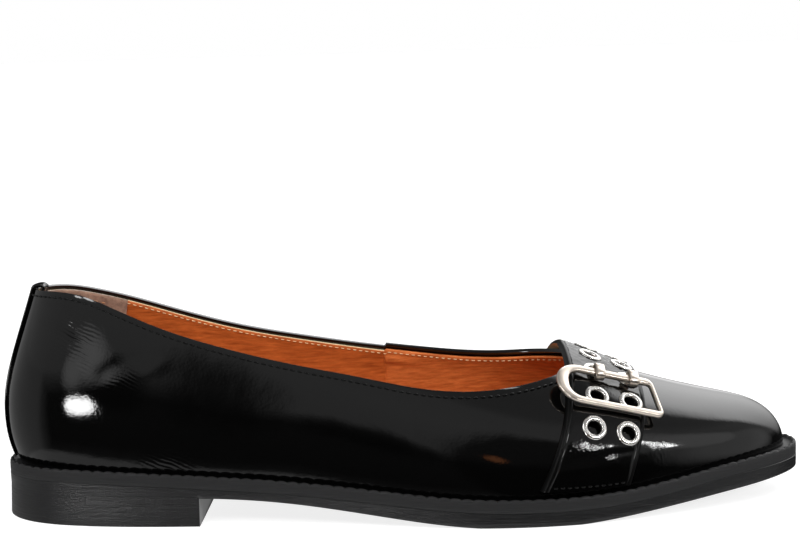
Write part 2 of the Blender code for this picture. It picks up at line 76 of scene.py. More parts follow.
# %% [markdown]
# ## The camera
# A long lens, 70 cm off and a little above the collar, looks level across the outer side of the shoe.
# Its place was fitted to the photograph: distance, height, a small turn to the toe and a small roll.
# It aims above the shoe, so the shoe fills the lower half of the picture without any lens shift.

# %% Camera
CAMERA_DISTANCE = 700.0
CAMERA_HEIGHT = 168.0
CAMERA_SIDEWAYS = 1.38
CAMERA_AIM_HEIGHT = 79.29
CAMERA_YAW = math.radians(1.5)
CAMERA_ROLL = math.radians(1.74)
PICTURE_WIDTH, PICTURE_HEIGHT = 800, 534
FOCAL_PIXELS = 2107.0
SENSOR_WIDTH = 36.0

look = np.array((-math.sin(CAMERA_YAW), math.cos(CAMERA_YAW), 0.0))
right = np.array((math.cos(CAMERA_YAW), math.sin(CAMERA_YAW), 0.0))
up = np.array((0.0, 0.0, 1.0))
pitch = math.atan2(CAMERA_HEIGHT - CAMERA_AIM_HEIGHT, CAMERA_DISTANCE)
view_ahead = look * math.cos(pitch) - up * math.sin(pitch)
view_up = look * math.sin(pitch) + up * math.cos(pitch)
picture_right = right * math.cos(CAMERA_ROLL) - view_up * math.sin(CAMERA_ROLL)
picture_up = view_up * math.cos(CAMERA_ROLL) + right * math.sin(CAMERA_ROLL)
camera_spot = np.array((134.0, 0.0, 0.0)) - CAMERA_DISTANCE * look + CAMERA_SIDEWAYS * right
camera_spot[2] = CAMERA_HEIGHT

camera_data = bpy.data.cameras.new("camera")
camera_data.sensor_width = SENSOR_WIDTH
camera_data.sensor_fit = "HORIZONTAL"
camera_data.lens = FOCAL_PIXELS * SENSOR_WIDTH / PICTURE_WIDTH
camera = bpy.data.objects.new("camera", camera_data)
camera_turn = Matrix((picture_right, picture_up, -view_ahead)).transposed()
camera.matrix_world = Matrix.Translation(Vector(to_frame(camera_spot))) @ camera_turn.to_4x4()
bpy.context.scene.collection.objects.link(camera)
bpy.context.scene.camera = camera
print("lens %.1f mm for %d x %d pixels" % (camera_data.lens, PICTURE_WIDTH, PICTURE_HEIGHT))

# %% [markdown]
# ## The last
# A shoe is pulled over a last, a foot-shaped block, so one function that gives any point of the last gives all
# the leather pieces. It could be sculpted, but then straps and linings would not follow it exactly.
# Here each cross-section is a cubic curve from the feather line (the bottom edge) to the ridge of the instep,
# and its sizes come from short tables with a natural spline through them.

# %% Tables of the last
SEAT_X = 5.2
TIP_X = 263.6

# x, outer edge, inner edge of the last's bottom
FEATHER = (
    (5.2, 0.0, 0.0),
    (12.0, -14.8, 14.8),
    (22.0, -21.4, 21.2),
    (36.0, -25.5, 25.0),
    (56.0, -28.0, 26.2),
    (80.0, -29.4, 25.0),
    (105.0, -31.9, 24.9),
    (130.0, -36.3, 28.2),
    (150.0, -39.6, 32.6),
    (168.0, -41.0, 36.4),
    (185.0, -39.8, 38.4),
    (202.0, -35.9, 37.8),
    (218.0, -30.2, 35.4),
    (234.0, -22.8, 31.4),
    (248.0, -14.4, 25.4),
    (257.0, -6.4, 19.6),
    (263.6, 7.0, 7.0),
)

# x, ridge height, ridge y, wall flare, wall reach, top reach
BODY = (
    (5.2, 100.0, 0.0, 5.6, 0.40, 0.72),
    (40.0, 96.0, 0.0, 5.6, 0.40, 0.72),
    (80.0, 84.5, 0.0, 5.4, 0.42, 0.70),
    (120.0, 71.5, 0.5, 4.6, 0.46, 0.66),
    (160.0, 59.2, 1.5, 4.0, 0.50, 0.62),
    (194.0, 47.6, 3.0, 3.6, 0.55, 0.60),
    (218.0, 39.4, 5.0, 3.0, 0.56, 0.60),
    (240.0, 33.6, 7.0, 2.2, 0.56, 0.60),
    (252.0, 30.3, 7.6, 1.4, 0.56, 0.60),
    (259.0, 25.9, 7.4, 0.7, 0.56, 0.60),
    (263.6, 15.3, 7.0, 0.0, 0.56, 0.60),
)
FLARE_FULL_HALF = 20.0

# Height, how far the back stands from the feather line (minus is further back)
HEEL_CURVE = ((16.0, 0.3), (24.0, -2.5), (33.0, -3.7), (41.0, -3.3), (49.0, -1.6), (58.0, 1.2), (68.0, 4.6),
              (80.0, 8.6))
HEEL_CURVE_FADE = 70.0
HEEL_CURVE_TOP = 84.0

# x, outer height, inner height of the collar's edge
TOPLINE = (
    (5.2, 75.6, 75.6),
    (14.0, 76.0, 74.8),
    (24.0, 75.2, 72.8),
    (38.0, 71.2, 69.4),
    (60.0, 63.2, 63.2),
    (80.0, 57.0, 58.0),
    (100.0, 52.0, 54.2),
    (122.0, 47.6, 50.4),
    (140.0, 44.0, 47.6),
    (156.0, 42.4, 45.6),
    (170.0, 42.8, 45.2),
    (180.0, 44.0, 46.0),
    (191.0, 45.8, 46.8),
)
THROAT_START = 183.0
THROAT_X = 198.0

# On the inner side the vamp laps over the quarter, which lifts the collar's edge in a small step
LAP_X = 128.6
LAP_RISE = 1.0

# x, top of the welt's lip; x, underside of the outsole
LIP = ((2.0, 18.4), (25.0, 18.6), (45.0, 18.0), (72.0, 16.5), (100.0, 14.5), (130.0, 11.8), (155.0, 9.6),
       (178.0, 9.0), (200.0, 9.5), (222.0, 11.9), (245.0, 15.0), (268.0, 16.3))
UNDERSIDE = ((2.0, 9.6), (45.0, 9.5), (72.0, 9.1), (90.0, 8.1), (110.0, 6.0), (130.0, 3.3), (150.0, 0.8),
             (166.0, -0.3), (186.0, -0.3), (200.0, 0.7), (215.0, 2.4), (230.0, 4.2), (245.0, 5.9), (268.0, 8.2))
LEDGE_DROP = 1.2
FIT = 0.3
print("the last has %d stations in plan and %d in section" % (len(FEATHER), len(BODY)))


# %% Splines through the tables
def smooth_curve(points):
    """Natural cubic spline through (x, value) points, for numbers or arrays."""
    xs, ys = np.array(points, float).T
    count = len(xs)
    step = np.diff(xs)
    rows = np.eye(count)
    target = np.zeros(count)
    for i in range(1, count - 1):
        rows[i, i - 1:i + 2] = step[i - 1], 2.0 * (step[i - 1] + step[i]), step[i]
        target[i] = 6.0 * ((ys[i + 1] - ys[i]) / step[i] - (ys[i] - ys[i - 1]) / step[i - 1])
    bend = np.linalg.solve(rows, target)

    def value(x):
        x = np.asarray(x, float)
        i = np.clip(np.searchsorted(xs, x) - 1, 0, count - 2)
        t = x - xs[i]
        slope = (ys[i + 1] - ys[i]) / step[i] - step[i] * (2.0 * bend[i] + bend[i + 1]) / 6.0
        return ys[i] + t * slope + t * t * bend[i] / 2.0 + t ** 3 * (bend[i + 1] - bend[i]) / (6.0 * step[i])

    return value


def turn(x):
    """Station angle: 0 at the back of the heel, pi at the tip, so that both ends round off."""
    return np.arccos(np.clip(1.0 - 2.0 * (np.asarray(x, float) - SEAT_X) / (TIP_X - SEAT_X), -1.0, 1.0))


def station_x(angle):
    return SEAT_X + (TIP_X - SEAT_X) * (1.0 - np.cos(angle)) / 2.0


def by_angle(table, column):
    return smooth_curve([(float(turn(row[0])), row[column]) for row in table])


# %% Curves of the last
feather_outer, feather_inner = by_angle(FEATHER, 1), by_angle(FEATHER, 2)
ridge_height, ridge_side, wall_flare, wall_reach, top_reach = (by_angle(BODY, column) for column in range(1, 6))
heel_curve = smooth_curve(HEEL_CURVE)
topline_outer = smooth_curve([(row[0], row[1]) for row in TOPLINE])
quarter_inner = smooth_curve([(row[0], row[2]) for row in TOPLINE])
lip_height = smooth_curve(LIP)
underside_curve = smooth_curve(UNDERSIDE)


def topline_inner(x):
    return quarter_inner(x) + LAP_RISE * ease((x - LAP_X) / 0.7)


def underside(x):
    return np.maximum(0.0, underside_curve(x))


def feather(angle, side):
    return np.where(np.asarray(side) < 0, feather_outer(angle), feather_inner(angle))


print("collar %.0f mm high at the back, %.0f at the middle" % (topline_outer(SEAT_X), topline_outer(BOX_MID[0])))


# %% Skin of the last
def skin(angle, side, t):
    """A point of the upper's outer face: t runs from the feather line (0) to the ridge (1)."""
    angle, side, t = np.broadcast_arrays(np.asarray(angle, float), side, t)
    x = station_x(angle)
    edge = feather(angle, side)
    foot_z = lip_height(x) - LEDGE_DROP + FIT
    top_z = np.maximum(ridge_height(angle), foot_z)
    top_y = ridge_side(angle)
    half = np.abs(edge - top_y)
    swell = wall_flare(angle) * np.minimum(1.0, half / FLARE_FULL_HALF)
    y1 = edge + side * swell
    z1 = foot_z + wall_reach(angle) * (top_z - foot_z)
    y2 = top_y + side * top_reach(angle) * half
    s = 1.0 - t
    y = s ** 3 * edge + 3.0 * s * s * t * y1 + 3.0 * s * t * t * y2 + t ** 3 * top_y
    z = s ** 3 * foot_z + 3.0 * s * s * t * z1 + (3.0 * s * t * t + t ** 3) * top_z
    fade = ease(1.0 - (x - SEAT_X) / HEEL_CURVE_FADE)
    return np.stack((x + heel_curve(np.minimum(z, HEEL_CURVE_TOP)) * fade, y, z), axis=-1)


NUDGE = 0.004


def outward(angle, side, t):
    """Unit normal of the upper's outer face, pointing away from the foot."""
    angle, side, t = np.broadcast_arrays(np.asarray(angle, float), side, t)
    a = np.clip(angle, NUDGE, math.pi - NUDGE)
    v = np.clip(t, NUDGE, 1.0 - NUDGE)
    along = skin(a + NUDGE, side, v) - skin(a - NUDGE, side, v)
    rise = skin(a, side, v + NUDGE) - skin(a, side, v - NUDGE)
    return unit(np.cross(rise, along) * side[..., None])


def shell(angle, side, t, offset):
    """A point over the upper's outer face at the given distance."""
    return skin(angle, side, t) + np.asarray(offset, float)[..., None] * outward(angle, side, t)


# %% Where the collar cuts a section
HALVINGS = 40


def topline_t(angle, side, drop=0.0):
    """How far up a section a line parallel to the collar's edge cuts it: 1 is the ridge, ahead of the throat."""
    angle = np.asarray(angle, float)
    x = station_x(angle)
    level = (topline_outer(x) if side < 0 else topline_inner(x)) - drop
    low = np.zeros_like(angle)
    high = np.ones_like(angle)
    for _ in range(HALVINGS):
        middle = (low + high) / 2.0
        under = skin(angle, side, middle)[..., 2] < level
        low = np.where(under, middle, low)
        high = np.where(under, high, middle)
    rounding = np.clip((x - THROAT_START - drop) / (THROAT_X - THROAT_START), 0.0, 1.0)
    return 1.0 - (1.0 - low) * np.sqrt(1.0 - rounding ** 3)


ball = max(row[2] for row in FEATHER) - min(row[1] for row in FEATHER)
print("last: %.0f mm long, %.0f mm at the ball" % (TIP_X - SEAT_X, ball))

# %% [markdown]
# ## Meshes from arrays
# Lofted leather has thousands of points, so the points are worked out as arrays and handed to Blender in one go.
# Modifiers then do what a maker does: Solidify gives the leather its thickness, Bevel folds and rounds its edge.


# %% Mesh helpers
def grid_faces(rows, columns, wrap_rows=False, wrap_columns=False):
    """Quads between neighbouring points of a grid, with its ends joined where asked."""
    r, c = np.meshgrid(
        np.arange(rows if wrap_rows else rows - 1),
        np.arange(columns if wrap_columns else columns - 1),
        indexing="ij",
    )
    r2, c2 = (r + 1) % rows, (c + 1) % columns
    return np.stack((r * columns + c, r * columns + c2, r2 * columns + c2, r2 * columns + c), -1).reshape(-1, 4)


def make_piece(name, points, faces, material, weld=0.0):
    """Object from an array of last millimetres and a list of faces, smooth and facing out."""
    mesh = bpy.data.meshes.new(name)
    mesh.from_pydata(to_frame(points).reshape(-1, 3).tolist(), [], [list(map(int, face)) for face in faces])
    data = bmesh.new()
    data.from_mesh(mesh)
    if weld:
        bmesh.ops.remove_doubles(data, verts=data.verts, dist=weld * MM)
        bmesh.ops.dissolve_degenerate(data, edges=data.edges, dist=weld * MM * 0.2)
    bmesh.ops.recalc_face_normals(data, faces=data.faces)
    data.to_mesh(mesh)
    data.free()
    mesh.shade_smooth()
    mesh.materials.append(material)
    piece = bpy.data.objects.new(name, mesh)
    bpy.context.scene.collection.objects.link(piece)
    return piece


def face_away(piece, centre):
    """Turn an open skin so that its faces look away from a point in last millimetres."""
    middle = to_frame(centre)
    polygons = piece.data.polygons
    centres = np.array([polygon.center for polygon in polygons]) - middle
    normals = np.array([polygon.normal for polygon in polygons])
    if (centres * normals).sum() < 0.0:
        piece.data.flip_normals()


def thicken(piece, thickness, offset, rim_material=0):
    """Solidify: offset -1 grows inward from the skin, 1 grows outward."""
    wall = piece.modifiers.new("thickness", "SOLIDIFY")
    wall.thickness = thickness * MM
    wall.offset = offset
    wall.use_even_offset = True
    wall.material_offset_rim = rim_material


def round_edges(piece, width, segments=3, angle=50.0):
    rounding = piece.modifiers.new("rounded edges", "BEVEL")
    rounding.width = width * MM
    rounding.segments = segments
    rounding.limit_method = "ANGLE"
    rounding.angle_limit = math.radians(angle)


def apply_modifiers(piece):
    """Swap the mesh for the one that the modifiers make, and say how many triangles it has."""
    evaluated = piece.evaluated_get(bpy.context.evaluated_depsgraph_get())
    mesh = bpy.data.meshes.new_from_object(evaluated)
    piece.modifiers.clear()
    piece.data = mesh
    mesh.shade_smooth()
    mesh.calc_loop_triangles()
    print("%s: %d triangles" % (piece.name, len(mesh.loop_triangles)))


def dress(piece, slot, *nodes):
    """Let the piece ride on the shoe and hide the solids that it stands for; its slot is not used."""
    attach(piece, "root")
    if nodes:
        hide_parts(*nodes)


# %% [markdown]
# ## Node helpers
# Colours are picked as sRGB hex values, and Blender's sockets take linear light, so one function converts them.
# One more adds a node with its settings, where an input is either a plain value or another node's output.


# %% Colours and nodes
def linear(hex_colour):
    """sRGB hex, such as '#c46a32', to linear RGBA."""
    parts = [int(hex_colour[i:i + 2], 16) / 255.0 for i in (1, 3, 5)]
    return [c / 12.92 if c <= 0.04045 else ((c + 0.055) / 1.055) ** 2.4 for c in parts] + [1.0]


def add_node(tree, kind, inputs=None, **settings):
    """Add one node, set its properties and fill or link its inputs."""
    node = tree.nodes.new(kind)
    for name, value in settings.items():
        setattr(node, name, value)
    for name, value in (inputs or {}).items():
        if isinstance(value, bpy.types.NodeSocket):
            tree.links.new(value, node.inputs[name])
        else:
            node.inputs[name].default_value = value
    return node


def start_material(name, **values):
    """Material with its Principled sockets set by name, such as Base_Color; gives its tree and shader too."""
    material = bpy.data.materials.new(name)
    material.use_nodes = True
    shader = material.node_tree.nodes["Principled BSDF"]
    for socket, value in values.items():
        shader.inputs[socket.replace("_", " ")].default_value = value
    return material, material.node_tree, shader


def spots_per_metre(size_mm):
    """Noise scale for features about this many millimetres across, in a frame of metres."""
    return 1.0 / (size_mm * MM)


# %% [markdown]
# ## Patent leather
# Patent leather is smooth leather flooded with black polyurethane lacquer. The lacquer levels like varnish, so the
# eye gets a mirror with slow waves in it, and fine crinkles only where the leather was bent.
# It could be a plain glossy black, but a coat layer over a near-black base mirrors without greying the black.
# Slow noise bends the mirror, and two weights stored on the points add crinkles and leaning wrinkles at listed spots.


# %% Patent leather
# Fine wrinkles lean down to the toe; a wave texture has one band for each 2 pi / 20 of its scale
WRINKLE_LEAN = -24.0
WRINKLE_PITCH = 1.3
WRINKLE_DEPTH = 0.05
WAVE_BAND = 2.0 * math.pi / 20.0


def patent_leather(name, coat, wave_mm, wave_depth, crinkle_mm, crinkle_depth, crinkle_height, grain_depth):
    """Black lacquered leather: deep black with sharp, slightly wavy reflections."""
    material, tree, shader = start_material(
        name, Base_Color=linear("#030303"), Roughness=0.4, IOR=1.5, Specular_IOR_Level=0.0, Coat_Weight=coat,
        Coat_Roughness=0.05, Coat_IOR=1.5,
    )
    place = add_node(tree, "ShaderNodeTexCoord")
    waves = add_node(
        tree, "ShaderNodeTexNoise",
        {"Vector": place.outputs["Object"], "Scale": spots_per_metre(wave_mm), "Detail": 2.0, "Roughness": 0.5},
    )
    wave_bump = add_node(
        tree, "ShaderNodeBump", {"Height": waves.outputs["Fac"], "Strength": 1.0, "Distance": wave_depth * MM}
    )
    # The lacquer's peel is about 0.3 mm wide, too fine for the picture, so it is drawn three times as coarse
    grain = add_node(
        tree, "ShaderNodeTexNoise",
        {"Vector": place.outputs["Object"], "Scale": spots_per_metre(0.9), "Detail": 2.0, "Roughness": 0.5},
    )
    grain_bump = add_node(
        tree, "ShaderNodeBump",
        {"Height": grain.outputs["Fac"], "Strength": 1.0, "Distance": grain_depth * MM,
         "Normal": wave_bump.outputs["Normal"]},
    )
    stretched = add_node(
        tree, "ShaderNodeMapping", {"Vector": place.outputs["Object"], "Scale": (1.0, 1.0, 1.0 / crinkle_height)}
    )
    crinkles = add_node(
        tree, "ShaderNodeTexNoise",
        {"Vector": stretched.outputs["Vector"], "Scale": spots_per_metre(crinkle_mm), "Detail": 3.0,
         "Roughness": 0.6},
    )
    weight = add_node(tree, "ShaderNodeAttribute", attribute_name="crinkle")
    weighted = add_node(
        tree, "ShaderNodeMath", {0: crinkles.outputs["Fac"], 1: weight.outputs["Fac"]}, operation="MULTIPLY"
    )
    crinkle_bump = add_node(
        tree, "ShaderNodeBump",
        {"Height": weighted.outputs["Value"], "Strength": 1.0, "Distance": crinkle_depth * MM,
         "Normal": grain_bump.outputs["Normal"]},
    )
    leaning = add_node(
        tree, "ShaderNodeMapping",
        {"Vector": place.outputs["Object"], "Rotation": (0.0, math.radians(WRINKLE_LEAN), 0.0)},
    )
    wrinkles = add_node(
        tree, "ShaderNodeTexWave",
        {"Vector": leaning.outputs["Vector"], "Scale": WAVE_BAND / (WRINKLE_PITCH * MM), "Distortion": 7.0,
         "Detail": 2.0, "Detail Scale": 0.5},
        bands_direction="Z",
    )
    wrinkle_weight = add_node(tree, "ShaderNodeAttribute", attribute_name="wrinkle")
    wrinkled = add_node(
        tree, "ShaderNodeMath", {0: wrinkles.outputs["Fac"], 1: wrinkle_weight.outputs["Fac"]}, operation="MULTIPLY"
    )
    wrinkle_bump = add_node(
        tree, "ShaderNodeBump",
        {"Height": wrinkled.outputs["Value"], "Strength": 1.0, "Distance": WRINKLE_DEPTH * MM,
         "Normal": crinkle_bump.outputs["Normal"]},
    )
    tree.links.new(wrinkle_bump.outputs["Normal"], shader.inputs["Normal"])
    tree.links.new(wrinkle_bump.outputs["Normal"], shader.inputs["Coat Normal"])
    return material


# The upper is pulled tight over the last: a full mirror with wide, shallow waves
upper_patent_material = patent_leather(
    "patent_leather_upper", coat=1.0, wave_mm=14.0, wave_depth=0.10, crinkle_mm=1.0, crinkle_depth=0.14,
    crinkle_height=4.0, grain_depth=0.012,
)
# The strap is bent and handled more: a slightly weaker mirror with closer waves and coarser crinkles
strap_patent_material = patent_leather(
    "patent_leather_strap", coat=0.8, wave_mm=7.0, wave_depth=0.06, crinkle_mm=1.7, crinkle_depth=0.26,
    crinkle_height=1.3, grain_depth=0.010,
)
print("patent leather: wrinkles every %.1f mm" % WRINKLE_PITCH)


# %% Weights for crinkles
def paint_weight(piece, name, spots):
    """Store a 0 to 1 weight on the points: each spot is (x, y, z, radius, weight) in last millimetres."""
    points = np.array([vertex.co for vertex in piece.data.vertices]) / MM + BOX_MID
    weight = np.zeros(len(points))
    for x, y, z, radius, amount in spots:
        distance = np.linalg.norm(points - (x, y, z), axis=1)
        weight = np.maximum(weight, amount * ease(1.0 - distance / radius))
    attribute = piece.data.attributes.new(name, "FLOAT", "POINT")
    attribute.data.foreach_set("value", weight.astype(np.float32))


# %% [markdown]
# ## The upper
# The upper is one lasted shell, so it is one grid: stations along the shoe by steps up each section, for both sides,
# welded at the back seam and along the vamp's ridge. Creases could be sculpted, but here they are pressed in
# as soft troughs and ridges, each a short line on the side of the shoe with a width and a depth.
# The folded collar is Solidify with a rounded Bevel.


# %% Creases
def beside_line(points, start, end):
    """Share of the way along a short line and the distance from it, for an array of flat points."""
    run = np.subtract(end, start)
    share = ((points - start) @ run) / (run @ run)
    nearest = start + np.clip(share, 0.0, 1.0)[..., None] * run
    return share, np.linalg.norm(points - nearest, axis=-1)


def pressed_line(points, start, end, width):
    """Soft line pressed into leather: 1 along its middle, fading over its width and toward both ends."""
    share, away = beside_line(points, start, end)
    return ease(np.minimum(share, 1.0 - share) * 3.0 + 0.35) * np.exp(-(away / width) ** 2)


# side (-1 outer), x and z at one end, x and z at the other, half width, depth (minus is a ridge)
CREASES = (
    (-1, 17.0, 66.0, 30.0, 59.0, 1.6, 0.07),
    (-1, 20.0, 69.0, 34.0, 60.0, 1.4, -0.06),
    (-1, 23.0, 64.0, 35.0, 55.5, 1.6, 0.07),
    (-1, 36.0, 49.0, 50.0, 57.0, 2.4, 0.10),
    (-1, 42.0, 46.0, 60.0, 54.0, 2.2, -0.08),
    (-1, 52.0, 26.0, 92.0, 23.0, 4.0, 0.10),
    (-1, 70.0, 36.0, 120.0, 33.0, 5.0, -0.10),
    (-1, 108.0, 24.0, 150.0, 20.0, 5.0, 0.12),
    (-1, 140.0, 33.0, 176.0, 26.0, 6.0, 0.14),
    (1, 26.0, 46.0, 46.0, 54.0, 4.0, 0.16),
    (1, 60.0, 34.0, 104.0, 28.0, 6.0, 0.14),
    (1, 126.0, 30.0, 168.0, 24.0, 6.0, -0.14),
)


def crease_depth(points, side):
    """How deep the hand-placed creases press at each point of one side."""
    total = np.zeros(points.shape[:-1])
    for crease_side, x0, z0, x1, z1, width, depth in CREASES:
        if crease_side == side:
            total += depth * pressed_line(points[..., (0, 2)], (x0, z0), (x1, z1), width)
    return total


print("creases: %d" % len(CREASES))

# %% Upper grid
UPPER_WALL = 1.25
COLLAR_ROUNDING = 0.58
INSIDE = (134.0, 0.0, 20.0)
STATIONS = 280
STEPS = 52
throat_angle = float(turn(THROAT_X))
near_throat = [float(turn(THROAT_X - back)) for back in (2.6, 1.9, 1.3, 0.8, 0.45, 0.2, 0.05)]
near_lap = turn(LAP_X + np.array((-0.3, 0.0, 0.2, 0.4, 0.7, 1.1)))
station_angles = np.unique(
    np.concatenate((np.linspace(0.0, math.pi, STATIONS), near_throat, [throat_angle], near_lap))
)
step_share = np.linspace(0.0, 1.0, STEPS)


def side_grid(angles, side, low, top, share, offset=0.0):
    """Grid of points over one side, from t = low up to each station's top."""
    t = low + (top - low)[:, None] * share[None, :]
    return shell(angles[:, None], side, t, np.full(t.shape, offset))


def two_sides(grids):
    """Both sides as one list of points with the faces of both grids."""
    rows, columns = grids[0].shape[:2]
    faces = grid_faces(rows, columns)
    return np.concatenate([grid.reshape(-1, 3) for grid in grids]), np.concatenate((faces, faces + rows * columns))


print("upper grid: %d stations of %d steps" % (len(station_angles), STEPS))

# %% Upper shell
grids = []
for side in (-1, 1):
    top = topline_t(station_angles, side)
    grid = side_grid(station_angles, side, 0.0, top, step_share)
    t = top[:, None] * step_share[None, :]
    grid -= crease_depth(grid, side)[..., None] * outward(station_angles[:, None], side, t)
    grids.append(grid)
points, faces = two_sides(grids)
upper = make_piece("upper_shell", points, faces, upper_patent_material, weld=0.02)
face_away(upper, INSIDE)
thicken(upper, UPPER_WALL, -1.0)
round_edges(upper, COLLAR_ROUNDING, 4)
apply_modifiers(upper)

# %% Upper crinkles
CRINKLE_SPOTS = ((219.0, -32.0, 21.5, 7.0, 1.0), (60.0, -29.0, 20.0, 16.0, 0.14))
WRINKLE_SPOTS = ((28.0, -24.0, 62.0, 11.0, 1.0), (31.0, -25.0, 56.0, 7.0, 0.6), (44.0, -29.0, 48.0, 8.0, 0.5),
                 (58.0, -30.0, 19.0, 12.0, 0.5))
paint_weight(upper, "crinkle", CRINKLE_SPOTS)
paint_weight(upper, "wrinkle", WRINKLE_SPOTS)
dress(upper, "black_patent", "upper")
print("upper: %d spots with crinkles or wrinkles" % (len(CRINKLE_SPOTS) + len(WRINKLE_SPOTS)))

# %% [markdown]
# ## The lining
# Inside, the lining leather is cut a little lower than the folded patent edge and sewn to it, so its raw cut edge
# shows as a pale line round the far side. A front panel laps over the back one under the lap of the vamp, and its
# colours are painted lighter, as painted light on the front of the lining.
# The two could be separate sheets, but one grid keeps them joined: it is the upper's grid pushed inside the wall,
# with a small step at the lap, and Solidify's rim takes another material for the raw edge.


# %% Lining leather
def lined_leather(name, base, dark, roughness, grain_mm, grain_depth):
    """Vegetable-tanned lining: warm, satin, with cloudy colour and a fine pebbled grain."""
    material, tree, shader = start_material(
        name, Roughness=roughness, IOR=1.46, Coat_Weight=0.08, Coat_Roughness=0.35
    )
    place = add_node(tree, "ShaderNodeTexCoord")
    # The hide's streaks run along the shoe, so both patterns are drawn out that way
    stretched = add_node(tree, "ShaderNodeMapping", {"Vector": place.outputs["Object"], "Scale": (0.15, 1.0, 1.0)})
    clouds = add_node(
        tree, "ShaderNodeTexNoise",
        {"Vector": stretched.outputs["Vector"], "Scale": spots_per_metre(1.2), "Detail": 6.0, "Roughness": 0.65},
    )
    colour = add_node(tree, "ShaderNodeValToRGB", {"Fac": clouds.outputs["Fac"]})
    colour.color_ramp.elements[0].position = 0.32
    colour.color_ramp.elements[0].color = linear(dark)
    colour.color_ramp.elements[1].position = 0.68
    colour.color_ramp.elements[1].color = linear(base)
    tree.links.new(colour.outputs["Color"], shader.inputs["Base Color"])
    grain = add_node(
        tree, "ShaderNodeTexVoronoi",
        {"Vector": stretched.outputs["Vector"], "Scale": spots_per_metre(grain_mm), "Randomness": 1.0},
        feature="SMOOTH_F1",
    )
    bump = add_node(
        tree, "ShaderNodeBump", {"Height": grain.outputs["Distance"], "Strength": 0.8, "Distance": grain_depth * MM}
    )
    tree.links.new(bump.outputs["Normal"], shader.inputs["Normal"])
    return material


LINING_LOOK = {"roughness": 0.52, "grain_mm": 0.9, "grain_depth": 0.16}
lining_material = lined_leather("tan_lining_leather", "#d06c30", "#9c4818", **LINING_LOOK)
# The front panel is the same leather drawn lighter: painted light, standing for the brighter light on the front of
# the lining
lit_front_lining_material = lined_leather("tan_lining_leather_painted_light", "#e07c3e", "#ae5522", **LINING_LOOK)
# Raw cut edge of undyed leather: pale, dry and matt
raw_edge_material, _, _ = start_material("raw_leather_edge", Base_Color=linear("#ecd0a4"), Roughness=0.75)
print("lining: two panels and a raw edge")

# %% Lining
LINING_DROP = 1.25
LINING_THICK = 0.7
LINING_LOW = 0.04
LINING_GAP = 0.08
LINING_TOE_X = 250.0
lining_angles = station_angles[station_angles < turn(LINING_TOE_X)]
seam_angles = turn(LAP_X + np.linspace(-1.0, 2.0, 11))
throat_angles = turn(THROAT_X + LINING_DROP - np.array((1.2, 0.5, 0.1, 0.0)))
lining_angles = np.unique(np.concatenate((lining_angles, seam_angles, throat_angles)))

# The front lining laps over the back lining, and a pleat runs on from the top of that seam
SEAM_STEP = 0.5
PLEAT_START, PLEAT_END, PLEAT_WIDTH, PLEAT_RISE = (129.5, 44.6), (143.0, 42.4), 0.9, 0.8
lining_share = np.linspace(0.0, 1.0, 40)
lining_grids = []
for side in (-1, 1):
    top = topline_t(lining_angles, side, LINING_DROP)
    grid = side_grid(lining_angles, side, LINING_LOW, top, lining_share, -(UPPER_WALL + LINING_GAP))
    if side > 0:
        share, away = beside_line(grid[..., (0, 2)], PLEAT_START, PLEAT_END)
        inward = PLEAT_RISE * ease(1.0 - share) * np.exp(-(away / PLEAT_WIDTH) ** 2)
        inward += SEAM_STEP * ease((grid[..., 0] - LAP_X) / 0.8)
        t = LINING_LOW + (top - LINING_LOW)[:, None] * lining_share[None, :]
        grid -= inward[..., None] * outward(lining_angles[:, None], side, t)
    lining_grids.append(grid)


def close_back(grids):
    """Bring the back edges of both sides to their middle, so that they weld."""
    middle = (grids[0][0] + grids[1][0]) / 2.0
    for grid in grids:
        grid[0] = middle


close_back(lining_grids)
joined = station_x(lining_angles) >= THROAT_X + LINING_DROP - 0.001
ridge_middle = (lining_grids[0][joined, -1] + lining_grids[1][joined, -1]) / 2.0
for grid in lining_grids:
    grid[joined, -1] = ridge_middle
points, faces = two_sides(lining_grids)
lining = make_piece("lining", points, faces, lining_material, weld=0.02)
lining.data.materials.append(raw_edge_material)
lining.data.materials.append(lit_front_lining_material)
# Faces ahead of the lap take the lighter copy, which is painted light on the front of the lining
for polygon in lining.data.polygons:
    if polygon.center.x > (LAP_X - BOX_MID[0]) * MM:
        polygon.material_index = 2
face_away(lining, INSIDE)
thicken(lining, LINING_THICK, -1.0, 1)
apply_modifiers(lining)
dress(lining, "tan_leather")

# %% [markdown]
# ## The insole
# The footbed lies on the welt's ledge inside the lining. A flat board would do from the side, but the top view
# shows it whole, so it is a loft through sections whose top dishes a little under the heel, with a softened edge.


# %% Plan outline
PLAN_NUDGE = 0.003


def outline(offset, angle, side):
    """Plan point of the feather line moved outward by the offset."""
    angle, side = np.broadcast_arrays(np.asarray(angle, float), side)
    a = np.clip(angle, PLAN_NUDGE, math.pi - PLAN_NUDGE)
    dx = station_x(a + PLAN_NUDGE) - station_x(a - PLAN_NUDGE)
    dy = feather(a + PLAN_NUDGE, side) - feather(a - PLAN_NUDGE, side)
    size = np.hypot(dx, dy)
    ends = (angle < PLAN_NUDGE) | (angle > math.pi - PLAN_NUDGE)
    nx = np.where(ends, np.where(angle < 1.0, -1.0, 1.0), -side * dy / size)
    ny = np.where(ends, 0.0, side * dx / size)
    return np.stack((station_x(angle) + offset * nx, feather(angle, side) + offset * ny), axis=-1)


